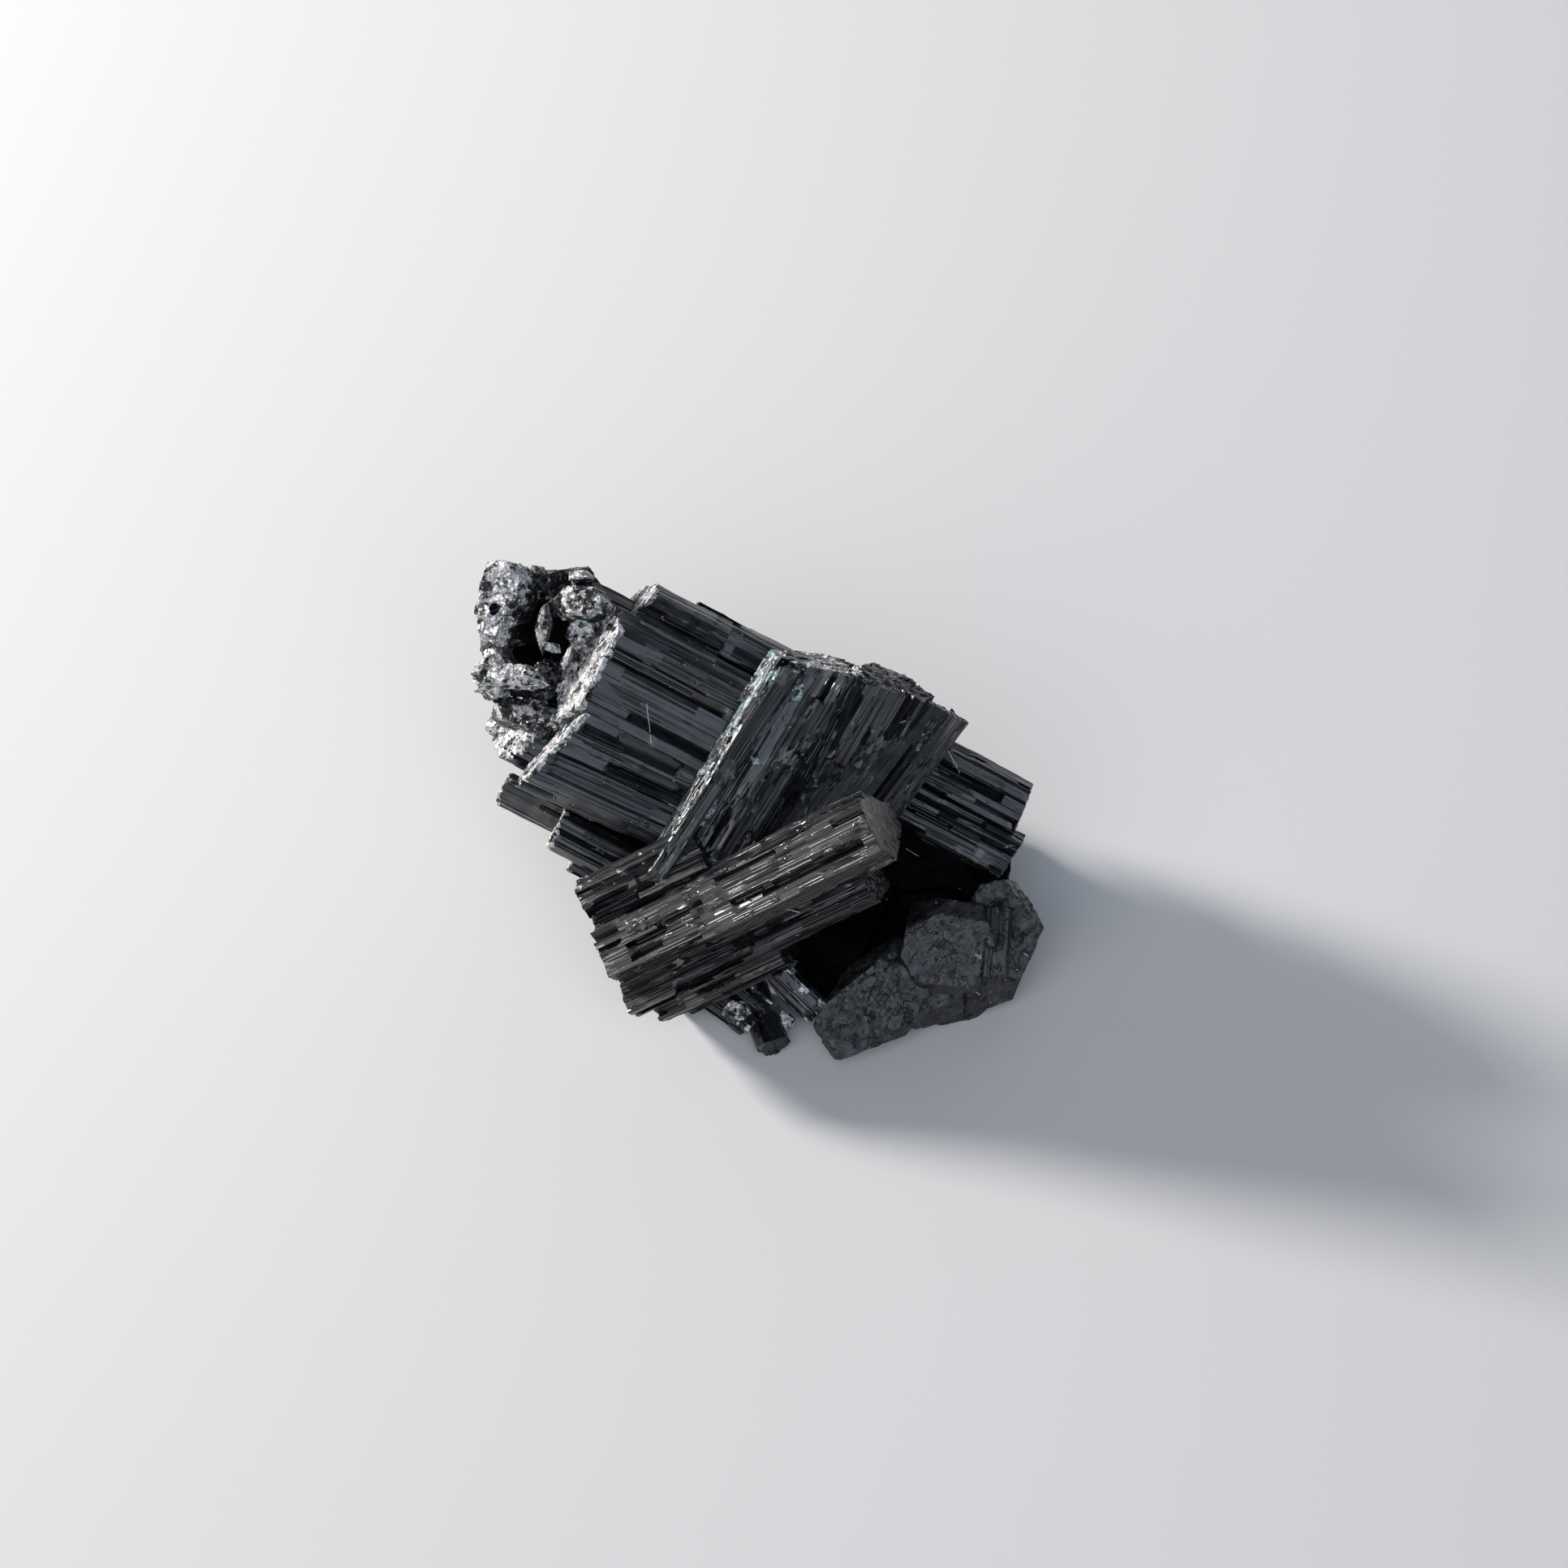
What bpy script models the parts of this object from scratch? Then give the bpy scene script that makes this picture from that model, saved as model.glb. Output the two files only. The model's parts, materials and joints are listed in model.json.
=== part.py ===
"""Black tourmaline: a cluster of intergrown striated prisms, as one solid.

The crystals are laid out in the frame of the specimen's display face, in millimetres: u runs to the
right along the face, v up it and w out of it. The face leans back from upright, and the cluster rests
on the trimmed underside of its base crystals.
"""

import math
import random
from typing import NamedTuple

import bmesh
import bpy
from mathutils import Matrix, Vector, noise

NODE = "black_tourmaline"
MM = 0.001

# How the display face stands on the table.
FACE_LEAN_DEG = 40.0
FACE_PLACE_MM = (0.0, 0.0, 18.0)
FLOOR_TRIM_MM = 60.0

# Striations: the ribs that run along every prism.
RIB_PITCH_MM = 1.7
RIB_HEIGHT_MM = 0.22
RIB_SHIFT = 0.25
SECTION_SIDES = 6
TRIGONAL = 0.10

# The knobs of the rough end.
LUMP_DETAIL = 3
LUMP_GRAIN = 2.2
LUMP_RELIEF = 0.35
PIT_MM = (-25.4, 20.4, -2.6)
PIT_RADIUS_MM = 1.0

SEED = 20


class Crystal(NamedTuple):
    """One prism: its axis from foot to tip, its section, and how each end is broken.

    Width is measured across the axis in the face, depth out of it. Roll turns the section, in degrees.
    A slant is how far an end runs along the axis for each millimetre across and each out of the face.
    Rough is how deep the broken ends are, in millimetres.
    """

    name: str
    foot: tuple
    tip: tuple
    width: float
    depth: float
    roll: float = 15.0
    foot_slant: tuple = (0.0, 0.0)
    tip_slant: tuple = (0.0, 0.0)
    rough: float = 0.5


CRYSTALS = (
    # The left-hand bundle, running down to the right.
    Crystal("a_main", (-16.5, 16.6, -2), (6.8, 4.4, -5), 11.1, 13, 40, foot_slant=(0.0, 0.45)),
    Crystal("a_lower", (-20.3, 6.9, -1), (-5.9, -0.8, -3), 10.1, 11, 36, foot_slant=(0.3, 0.3)),
    Crystal("a_top", (-11.6, 21.8, -6), (-3.1, 17.4, -7), 4.9, 10, 30, foot_slant=(0.2, 0.1)),
    Crystal("a_top_back", (-7.2, 19.3, -9), (14.6, 8.0, -12), 5.8, 10, 30),
    Crystal("a_left_top", (-19.3, 22.5, -9), (-8.5, 17.0, -10), 5.6, 10, 50, rough=0.8),
    Crystal("a_vug", (-24.4, 18.6, -13), (-12.0, 12.4, -13), 10.5, 9, 30, rough=1.2),
    Crystal("a_seven", (-24.6, 9.4, -7), (-11.7, 2.7, -8), 8.4, 10, 25, foot_slant=(0.1, 0.5), rough=1.0),
    Crystal("a_small_left", (-25.6, 3.0, -9), (-12.5, -3.7, -9), 4.2, 7, 30, rough=0.8),
    Crystal("a_small_mid", (-20.2, -1.2, -5), (-7.8, -7.8, -6), 4.7, 7, 30, rough=0.8),
    Crystal("a_small_low", (-18.6, -4.4, -8), (-8.9, -9.6, -9), 2.8, 6, 30),
    # The right-hand bundle, beyond the standing crystals.
    Crystal("r_upper", (8.7, 10.2, -6), (27.6, 0.4, -8), 6.6, 10, 30, tip_slant=(-0.1, -0.1)),
    Crystal("r_lower", (6.2, 5.9, -7), (25.9, -4.2, -9), 6.0, 11, 30, tip_slant=(0.1, -0.1)),
    # The standing pair across the middle.
    Crystal("m_left", (-6.4, -7.2, 0), (7.2, 15.0, 2), 10.8, 14, 42, tip_slant=(-0.22, -0.15)),
    Crystal("m_middle", (0.6, -8.0, -1.5), (13.0, 12.2, 0.5), 10.0, 13, 30, tip_slant=(-0.15, -0.1)),
    Crystal("m_right", (3.3, -6.4, -1), (17.2, 11.8, 1), 11.0, 14, 18, tip_slant=(-0.15, -0.15)),
    # The front bundle, running up to the right.
    Crystal("f_front", (-4.8, -9.2, 4), (12.3, -0.6, 11), 8.0, 10, 30, rough=0.15),
    Crystal("f_upper", (-16.3, -8.7, 0), (-4.4, -2.9, 3), 5.8, 9, 30),
    Crystal("f_middle", (-14.2, -13.5, 0), (10.4, -1.5, 8), 7.6, 11, 25),
    Crystal("f_lower", (-12.0, -17.9, -1), (12.0, -6.2, 6), 4.6, 11, 20),
    Crystal("f_bottom", (-9.2, -19.1, -4), (6.3, -11.7, 1), 3.2, 9, 30),
    Crystal("f_foot", (-6.2, -18.8, -6), (2.6, -14.6, -2), 2.4, 8, 30),
    # The base crystals, whose broken ends face front right.
    Crystal("b_middle", (15.6, -11.4, -15), (19.8, -14.0, 1), 9.4, 10.0, 20, rough=0.8),
    Crystal("b_right", (20.0, -9.0, -16), (25.6, -11.7, -0.5), 8.8, 8.6, 0, rough=0.8),
    Crystal("b_left", (7.6, -15.6, -15), (12.9, -20.2, 0), 12.6, 9.6, 10, rough=0.8),
    Crystal("b_under", (16.0, -11.0, -18), (21.8, -17.0, -3.2), 14.6, 7.4, 30, rough=0.6),
    # Small prisms under the front bundle.
    Crystal("s_smooth", (-7.4, -16.1, -8), (-0.6, -20.9, -3.4), 3.2, 3.2, 30, rough=0.1),
    Crystal("s_dark", (-1.0, -16.0, -8), (2.2, -22.4, -3), 4.4, 4.4, 15),
    Crystal("s_slivers", (0.0, -13.0, -8), (5.6, -19.0, 0), 4.8, 5.0, 15, rough=1.0),
    # The hidden heart and the back of the cluster.
    Crystal("k_left", (-19.4, 12.8, -13), (5.4, -0.2, -13), 21.0, 12, 30),
    Crystal("k_right", (-6.0, 6.0, -15), (19.0, -6.0, -18), 16.0, 14, 30),
    Crystal("k_back", (-16.0, 14.5, -19), (10.0, 1.0, -21), 13.0, 12, 30),
    Crystal("k_base", (-12.0, -2.0, -14), (12.0, -13.0, -11), 12.0, 14, 30),
)


class Lump(NamedTuple):
    """One glittering knob of the rough end: where it sits, its half-sizes and its turn in the face."""

    name: str
    centre: tuple
    half: tuple
    turn: float = 0.0


LUMPS = (
    Lump("l_corner", (-24.4, 21.0, -6), (2.9, 4.0, 4.2), 10),
    Lump("l_outer", (-25.6, 12.7, -8), (3.2, 2.8, 4.4), 20),
    Lump("l_bridge", (-26.0, 16.4, -10), (1.8, 2.6, 3.4), 0),
    Lump("l_inner", (-22.0, 12.4, -5), (3.4, 2.2, 3.6), 25),
    Lump("l_knob", (-20.4, 19.2, -3), (1.3, 2.4, 4.0), 15),
    Lump("l_rim", (-16.6, 20.6, -3), (2.6, 1.8, 4.4), -30),
)


def section_corners(crystal):
    """The corners of a ditrigonal prism's section, fitted to the crystal's width and depth."""
    step = 2 * math.pi / SECTION_SIDES
    corners = []
    for k in range(SECTION_SIDES):
        first = math.radians(crystal.roll) + k * step
        second = first + step
        near = 1 + TRIGONAL * (-1) ** k
        far = 1 - TRIGONAL * (-1) ** k
        spread = math.sin(step)
        x = (near * math.sin(second) - far * math.sin(first)) / spread
        y = (far * math.cos(first) - near * math.cos(second)) / spread
        corners.append((x, y))
    wide = max(abs(x) for x, _ in corners)
    deep = max(abs(y) for _, y in corners)
    return [Vector((x * crystal.width / 2 / wide, y * crystal.depth / 2 / deep)) for x, y in corners]


def ribbed_outline(crystal, rng):
    """The section with its sides split into ribs, each point in or out by up to a rib's height."""
    outline = []
    corners = section_corners(crystal)
    for here, ahead in zip(corners, corners[1:] + corners[:1]):
        side = ahead - here
        outward = Vector((side.y, -side.x)).normalized()
        ribs = max(1, round(side.length / RIB_PITCH_MM))
        outline.append(here)
        for k in range(1, ribs):
            share = (k + rng.uniform(-RIB_SHIFT, RIB_SHIFT)) / ribs
            outline.append(here + side * share + outward * rng.uniform(-RIB_HEIGHT_MM, RIB_HEIGHT_MM))
    return outline


def broken_end(mesh, cap, slant, rough, outward, rng):
    """Slants a flat end and breaks it into uneven facets around a shifted inner one."""
    for vertex in cap.verts:
        vertex.co.z += slant[0] * vertex.co.x + slant[1] * vertex.co.y
        vertex.co.z -= outward * rng.uniform(0, 0.5) * rough
    rim = set(cap.verts)
    bmesh.ops.poke(mesh, faces=[cap])
    spokes = [edge for edge in mesh.edges if len(rim.intersection(edge.verts)) == 1
              and not any(len(face.verts) > 3 for face in edge.link_faces)]
    middle = bmesh.ops.subdivide_edges(mesh, edges=spokes, cuts=1)["geom_inner"]
    for vertex in middle:
        if isinstance(vertex, bmesh.types.BMVert):
            vertex.co.z += outward * rng.uniform(-0.5, 0.5) * rough


def crystal_mesh(crystal, rng):
    """One closed prism with its axis on +Z from 0 to its length, in millimetres."""
    outline = ribbed_outline(crystal, rng)
    length = (Vector(crystal.tip) - Vector(crystal.foot)).length
    mesh = bmesh.new()
    ring = bmesh.ops.create_circle(mesh, cap_ends=True, segments=len(outline), radius=1)["verts"]
    for vertex, point in zip(ring, outline):
        vertex.co = (point.x, point.y, 0)
    foot_cap = mesh.faces[:][0]
    extruded = bmesh.ops.extrude_face_region(mesh, geom=[foot_cap], use_keep_orig=True)["geom"]
    tip_cap = next(item for item in extruded if isinstance(item, bmesh.types.BMFace))
    for vertex in tip_cap.verts:
        vertex.co.z = length
    broken_end(mesh, foot_cap, crystal.foot_slant, crystal.rough, -1, rng)
    broken_end(mesh, tip_cap, crystal.tip_slant, crystal.rough, 1, rng)
    bmesh.ops.triangulate(mesh, faces=mesh.faces)
    bmesh.ops.recalc_face_normals(mesh, faces=mesh.faces)
    return mesh


def lump_mesh(lump):
    """One knob: a coarse ball pushed in and out into crumbly facets, in the display face's frame."""
    mesh = bmesh.new()
    bmesh.ops.create_icosphere(mesh, subdivisions=LUMP_DETAIL, radius=1)
    place = Vector(lump.centre)
    for vertex in mesh.verts:
        swell = noise.noise(vertex.co * LUMP_GRAIN + place)
        vertex.co *= 1 + LUMP_RELIEF * swell
    mesh.transform(Matrix.Diagonal((*lump.half, 1)))
    mesh.transform(Matrix.Translation(place) @ Matrix.Rotation(math.radians(lump.turn), 4, "Z"))
    return mesh


def along_axis(crystal):
    """The matrix that carries a prism's own frame into the display face's frame."""
    axis = (Vector(crystal.tip) - Vector(crystal.foot)).normalized()
    outward = (Vector((0, 0, 1)) - axis * axis.z).normalized()
    across = outward.cross(axis)
    turn = Matrix((across, outward, axis)).transposed().to_4x4()
    return Matrix.Translation(crystal.foot) @ turn


def face_to_world():
    """The matrix that carries the display face's frame, in millimetres, into the part's frame."""
    lean = Matrix.Rotation(math.radians(FACE_LEAN_DEG), 4, "X")
    return Matrix.Scale(MM, 4) @ Matrix.Translation(FACE_PLACE_MM) @ lean


def add_object(name, mesh, collection):
    """Turns a bmesh into an object in a collection."""
    data = bpy.data.meshes.new(name)
    mesh.to_mesh(data)
    mesh.free()
    made = bpy.data.objects.new(name, data)
    collection.objects.link(made)
    return made


def make_collection(name):
    """A new collection in the scene."""
    collection = bpy.data.collections.new(name)
    bpy.context.scene.collection.children.link(collection)
    return collection


def as_helper(made):
    """Marks an object as one that only feeds a modifier."""
    made.hide_render = True
    made.display_type = "WIRE"


def floor_cutter(collection):
    """A block whose top is the surface that the specimen rests on."""
    mesh = bmesh.new()
    bmesh.ops.create_cube(mesh, size=2 * FLOOR_TRIM_MM * MM)
    bmesh.ops.translate(mesh, verts=mesh.verts, vec=(0, 0, -FLOOR_TRIM_MM * MM))
    made = add_object("floor_cutter", mesh, collection)
    as_helper(made)
    return made


def pit_cutter(to_world, collection):
    """A small ball that hollows the corner knob."""
    mesh = bmesh.new()
    bmesh.ops.create_icosphere(mesh, subdivisions=2, radius=PIT_RADIUS_MM)
    mesh.transform(to_world @ Matrix.Translation(PIT_MM))
    made = add_object("pit_cutter", mesh, collection)
    as_helper(made)
    return made


def tourmaline_material():
    """Jet black, with the glassy lustre of schorl."""
    material = bpy.data.materials.new("schorl")
    material.use_nodes = True
    shader = material.node_tree.nodes["Principled BSDF"]
    shader.inputs["Base Color"].default_value = (0.012, 0.013, 0.016, 1)
    shader.inputs["Roughness"].default_value = 0.28
    shader.inputs["Metallic"].default_value = 0.0
    return material


def main():
    for old in list(bpy.data.objects):
        bpy.data.objects.remove(old)
    rng = random.Random(SEED)
    parts = make_collection("black_tourmaline_part")
    members = make_collection("crystals_to_join")
    cutters = make_collection("cutters")
    to_world = face_to_world()
    for crystal in CRYSTALS:
        mesh = crystal_mesh(crystal, rng)
        mesh.transform(to_world @ along_axis(crystal))
        first = crystal is CRYSTALS[0]
        made = add_object(NODE if first else crystal.name, mesh, parts if first else members)
        if first:
            specimen = made
        else:
            as_helper(made)
    for lump in LUMPS:
        mesh = lump_mesh(lump)
        mesh.transform(to_world)
        as_helper(add_object(lump.name, mesh, members))
    join = specimen.modifiers.new("grown_together", "BOOLEAN")
    join.operation = "UNION"
    join.operand_type = "COLLECTION"
    join.collection = members
    join.solver = "EXACT"
    pit = specimen.modifiers.new("pit", "BOOLEAN")
    pit.operation = "DIFFERENCE"
    pit.object = pit_cutter(to_world, cutters)
    pit.solver = "EXACT"
    trim = specimen.modifiers.new("resting_face", "BOOLEAN")
    trim.operation = "DIFFERENCE"
    trim.object = floor_cutter(cutters)
    trim.solver = "EXACT"
    specimen.data.materials.append(tourmaline_material())


main()
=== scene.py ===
"""The looks of the black tourmaline cluster: striated prisms, splintered ends and glittering knobs.

Crystals are laid out in the frame of the display face, in millimetres: u runs to the right along the
face, v up it and w out of it. Each crystal is made upright in a frame of its own, with its axis on +Z,
and that frame is kept on its mesh as the attribute "grain", so that the finishes follow each crystal.
"""

from __future__ import annotations

import json
import logging
import math
import random
import time
from dataclasses import dataclass
from enum import Enum
from types import SimpleNamespace

import bmesh
import bpy
from mathutils import Euler, Matrix, Vector
from mathutils.bvhtree import BVHTree

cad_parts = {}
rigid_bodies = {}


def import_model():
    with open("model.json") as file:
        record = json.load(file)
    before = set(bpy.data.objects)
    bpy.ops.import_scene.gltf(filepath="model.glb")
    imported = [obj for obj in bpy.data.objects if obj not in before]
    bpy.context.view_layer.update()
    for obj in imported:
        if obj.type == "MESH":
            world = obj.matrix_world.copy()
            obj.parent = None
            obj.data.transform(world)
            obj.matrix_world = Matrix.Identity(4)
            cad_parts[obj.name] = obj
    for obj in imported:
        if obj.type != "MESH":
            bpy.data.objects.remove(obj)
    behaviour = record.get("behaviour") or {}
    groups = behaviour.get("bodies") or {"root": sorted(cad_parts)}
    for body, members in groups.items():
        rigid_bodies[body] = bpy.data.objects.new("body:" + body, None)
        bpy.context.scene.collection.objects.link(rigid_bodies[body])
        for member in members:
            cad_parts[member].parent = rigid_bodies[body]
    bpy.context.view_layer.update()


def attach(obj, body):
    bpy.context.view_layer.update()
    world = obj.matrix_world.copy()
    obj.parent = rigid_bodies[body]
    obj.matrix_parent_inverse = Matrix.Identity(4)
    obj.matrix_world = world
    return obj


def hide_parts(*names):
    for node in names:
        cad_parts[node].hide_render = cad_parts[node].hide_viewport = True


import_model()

LOG = logging.getLogger("black_tourmaline")
NODE = "black_tourmaline"
BODY = "root"
MM = 0.001

FACE_LEAN_DEG = 40.0
FACE_PLACE_MM = (0.0, 0.0, 18.0)
FLOOR_TRIM_MM = 60.0
SECTION_SIDES = 6
SHARP_ANGLE_DEG = 32.0
LEAST_SHELL = 400
SEEDS_APART = 20
MIDDLE = (0.5, 0.5, 0.5)
# Where the upper side begins and ends: on a prism it is the side the key light lights, and a block uses it
# for its outer side. Painted glitter is laid there.
UPPER_SIDE = (-0.35, 0.45)


class Feature(Enum):
    """Names of the attributes that the meshes carry and the finishes read."""

    GRAIN = "grain"
    ALONG = "along"
    BROKEN = "broken"
    # Marks granular relief whose pale grains are painted glitter: light glinting off fine facets, painted
    # into the colour.
    CRUST = "crust"


def face_to_world() -> Matrix:
    """The matrix that carries the display face's frame, in millimetres, into the part's frame."""
    lean = Matrix.Rotation(math.radians(FACE_LEAN_DEG), 4, "X")
    return Matrix.Scale(MM, 4) @ Matrix.Translation(FACE_PLACE_MM) @ lean


@dataclass(frozen=True)
class Signal:
    """What a node gives out. Arithmetic on it adds Math or Vector Math nodes."""

    wiring: Wiring
    socket: bpy.types.NodeSocket

    def __add__(self, other: Value) -> Signal:
        """The sum of this and another signal or plain value."""
        return self.wiring.combine("ADD", self, other)

    def __sub__(self, other: Value) -> Signal:
        """This less the other."""
        return self.wiring.combine("SUBTRACT", self, other)

    def __rsub__(self, other: Value) -> Signal:
        """The other less this."""
        return self.wiring.combine("SUBTRACT", other, self)

    def __mul__(self, other: Value) -> Signal:
        """The product of this and another signal or plain value."""
        return self.wiring.combine("MULTIPLY", self, other)

    def __rmul__(self, other: Value) -> Signal:
        """The product of a plain value and this."""
        return self.wiring.combine("MULTIPLY", other, self)

    def __truediv__(self, other: Value) -> Signal:
        """This divided by the other."""
        return self.wiring.combine("DIVIDE", self, other)

    def __rtruediv__(self, other: Value) -> Signal:
        """The other divided by this."""
        return self.wiring.combine("DIVIDE", other, self)


Value = Signal | float | tuple


class Wiring:
    """Adds nodes to a tree and joins their sockets."""

    def __init__(self, tree: bpy.types.NodeTree) -> None:
        """Takes the geometry or shader tree that the nodes go in."""
        self.tree = tree

    def add(self, kind: str, feeds: dict | None = None, **settings) -> bpy.types.Node:
        """Adds a node.

        Args:
            kind: The node's type name.
            feeds: What goes into its inputs, by name or number: a signal or a plain value.
            **settings: Values of the node's own properties.

        Returns:
            The new node.
        """
        node = self.tree.nodes.new(kind)
        for name, value in settings.items():
            setattr(node, name, value)
        for key, value in (feeds or {}).items():
            self.feed(node.inputs[key], value)
        return node

    def feed(self, socket: bpy.types.NodeSocket, value: Value) -> None:
        """Gives an input a signal, or a plain value.

        Args:
            socket: The input.
            value: The signal or the value.
        """
        if isinstance(value, Signal):
            self.tree.links.new(value.socket, socket)
        else:
            socket.default_value = value

    def out(self, kind: str, feeds: dict | None = None, output: int | str = 0, **settings) -> Signal:
        """Adds a node, as add does, and returns one of its outputs, given by name or number."""
        return Signal(self, self.add(kind, feeds, **settings).outputs[output])

    def combine(self, operation: str, first: Value, second: Value) -> Signal:
        """Does a sum on two values, as vectors where either of them is one.

        Args:
            operation: What it works out.
            first: A signal, a number or a tuple of three.
            second: The same.

        Returns:
            The result. A vector times a number is the vector scaled.
        """
        vectors = [self._is_vector(value) for value in (first, second)]
        if operation == "MULTIPLY" and vectors == [True, False]:
            return self.out("ShaderNodeVectorMath", {0: first, 3: second}, operation="SCALE")
        kind = "ShaderNodeVectorMath" if any(vectors) else "ShaderNodeMath"
        return self.out(kind, {0: first, 1: second}, operation=operation)

    def _is_vector(self, value: Value) -> bool:
        """Whether a value is a vector or a colour, and not a number."""
        given = isinstance(value, Signal) and value.socket.type in ("VECTOR", "RGBA")
        return given or isinstance(value, tuple)

    def maths(self, operation: str, *values: Value, clamp: bool = False) -> Signal:
        """Adds a Math node.

        Args:
            operation: What it works out.
            *values: Its inputs, as signals or numbers.
            clamp: Whether the result is kept between 0 and 1.

        Returns:
            Its result.
        """
        return self.out("ShaderNodeMath", dict(enumerate(values)), operation=operation, use_clamp=clamp)

    def dot(self, first: Signal, second: Value) -> Signal:
        """The dot product of two vectors."""
        return self.out("ShaderNodeVectorMath", {0: first, 1: second}, "Value", operation="DOT_PRODUCT")

    def size(self, vector: Signal) -> Signal:
        """A vector's length."""
        return self.out("ShaderNodeVectorMath", {0: vector}, "Value", operation="LENGTH")

    def way(self, vector: Signal) -> Signal:
        """A vector's direction."""
        return self.out("ShaderNodeVectorMath", {0: vector}, operation="NORMALIZE")

    def join(self, x: Value = 0.0, y: Value = 0.0, z: Value = 0.0) -> Signal:
        """Makes a vector of three numbers."""
        return self.out("ShaderNodeCombineXYZ", {0: x, 1: y, 2: z})

    def parts(self, vector: Signal) -> tuple:
        """The three numbers of a vector."""
        return tuple(Signal(self, part) for part in self.add("ShaderNodeSeparateXYZ", {0: vector}).outputs)

    def chance(self, *numbers: Value) -> Signal:
        """A random number from 0 to 1 that is always the same for the same one to three numbers."""
        return self.scatter(self.join(*numbers))

    def scatter(self, vector: Signal) -> Signal:
        """A random number from 0 to 1 that is always the same for the same vector."""
        return self.out("ShaderNodeTexWhiteNoise", {"Vector": vector}, "Value", noise_dimensions="3D")

    def choose(self, share: Signal, first: Value, second: Value) -> Signal:
        """Goes from the first number to the second as the share goes from 0 to 1."""
        return self.out("ShaderNodeMix", {0: share, 2: first, 3: second}, data_type="FLOAT")

    def blend(self, share: Signal, first: Value, second: Value) -> Signal:
        """Goes from the first colour to the second as the share goes from 0 to 1."""
        return self.out("ShaderNodeMix", {0: share, 6: first, 7: second}, 2, data_type="RGBA")

    def ramp(
        self, value: Signal, low: float, high: float, start: float = 0.0, end: float = 1.0, **settings
    ) -> Signal:
        """Carries a value between low and high to the same place between start and end."""
        return self.out("ShaderNodeMapRange", {0: value, 1: low, 2: high, 3: start, 4: end}, **settings)

    def noise(self, place: Signal, scale: float, detail: float, output: int | str = 0, **more) -> Signal:
        """Soft noise, from 0 to 1, or its colour."""
        feeds = {"Vector": place, "Scale": scale, "Detail": detail, **more}
        return self.out("ShaderNodeTexNoise", feeds, output)

    def voronoi(self, place: Signal, scale: float, output: str = "Color", feature: str = "F1") -> Signal:
        """One output of a Voronoi pattern."""
        return self.out("ShaderNodeTexVoronoi", {"Vector": place, "Scale": scale}, output, feature=feature)

    def store(
        self, geometry: Signal, feature: Feature, value: Value, kind: str = "FLOAT", domain: str = "POINT"
    ) -> Signal:
        """Keeps a field on the mesh as one of its attributes.

        Args:
            geometry: The mesh.
            feature: The attribute's name.
            value: The field.
            kind: The attribute's data type.
            domain: What it is kept on.

        Returns:
            The mesh with its attribute.
        """
        feeds = {"Geometry": geometry, "Name": feature.value, "Value": value}
        return self.out("GeometryNodeStoreNamedAttribute", feeds, data_type=kind, domain=domain)

    def steps(self, place: Signal, size: tuple, tilt: tuple, height: float = 0.0) -> Signal:
        """Relief made of flat facets: each cell has its own height and leans its own way.

        Args:
            place: Where each point is, in millimetres.
            size: The cells' size along X, Y and Z, in millimetres.
            tilt: How far a facet leans along X, Y and Z, as a slope.
            height: How far a cell stands in or out, in millimetres.

        Returns:
            The height, in millimetres.
        """
        squeezed = place * tuple(1 / length for length in size)
        cell = self.add("ShaderNodeTexVoronoi", {"Vector": squeezed, "Scale": 1.0}, feature="F1").outputs
        own, middle = Signal(self, cell["Color"]), Signal(self, cell["Position"])
        swing = (own - MIDDLE) * (2.0, 2.0, 2.0)
        lean = self.dot(swing * tilt, (squeezed - middle) * size)
        return lean + (self.scatter(own) - 0.5) * height

    def grain_noise(self, place: Signal, width: float, length: float, detail: float = 3.0) -> Signal:
        """Noise stretched along Z, from 0 to 1."""
        return self.noise(place * (1 / width, 1 / width, 1 / length), 1.0, detail)


def mesh_from(made: bmesh.types.BMesh, name: str) -> bpy.types.Mesh:
    """Turns a bmesh into a mesh and frees it.

    Args:
        made: The bmesh.
        name: The mesh's name.

    Returns:
        The mesh.
    """
    mesh = bpy.data.meshes.new(name)
    made.to_mesh(mesh)
    made.free()
    return mesh


def new_object(name: str, data: bpy.types.ID) -> bpy.types.Object:
    """Puts a mesh, a light or a camera in the scene as an object at the origin.

    Args:
        name: The object's name.
        data: What the object shows.

    Returns:
        The object.
    """
    made = bpy.data.objects.new(name, data)
    bpy.context.scene.collection.objects.link(made)
    return made


def new_material(name: str) -> tuple:
    """Makes a material.

    Args:
        name: Its name.

    Returns:
        The material, its wiring and the inputs of its Principled BSDF.
    """
    made = bpy.data.materials.new(name)
    made.use_nodes = True
    return made, Wiring(made.node_tree), made.node_tree.nodes["Principled BSDF"].inputs


def settle(made: bpy.types.Object) -> bpy.types.Mesh:
    """Evaluates an object's modifiers into a plain mesh and removes the object.

    Args:
        made: The object.

    Returns:
        The mesh that it evaluates to.
    """
    depsgraph = bpy.context.evaluated_depsgraph_get()
    mesh = bpy.data.meshes.new_from_object(made.evaluated_get(depsgraph))
    bpy.data.objects.remove(made)
    return mesh


def move_points(w: Wiring, mesh: Signal, grain: Signal, shift: Signal) -> Signal:
    """Keeps each point's place in the grain on the mesh and moves the point there.

    Args:
        w: The tree's wiring.
        mesh: The mesh, whose other fields still depend on where its points were.
        grain: Where each point goes, with the shift.
        shift: The shape's own place in the noise, which its points don't move by.

    Returns:
        The moved mesh.
    """
    kept = w.store(mesh, Feature.GRAIN, grain, "FLOAT_VECTOR")
    name = {"Name": Feature.GRAIN.value}
    back = w.out("GeometryNodeInputNamedAttribute", name, data_type="FLOAT_VECTOR") - shift
    return w.out("GeometryNodeSetPosition", {"Geometry": kept, "Position": back})


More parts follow.
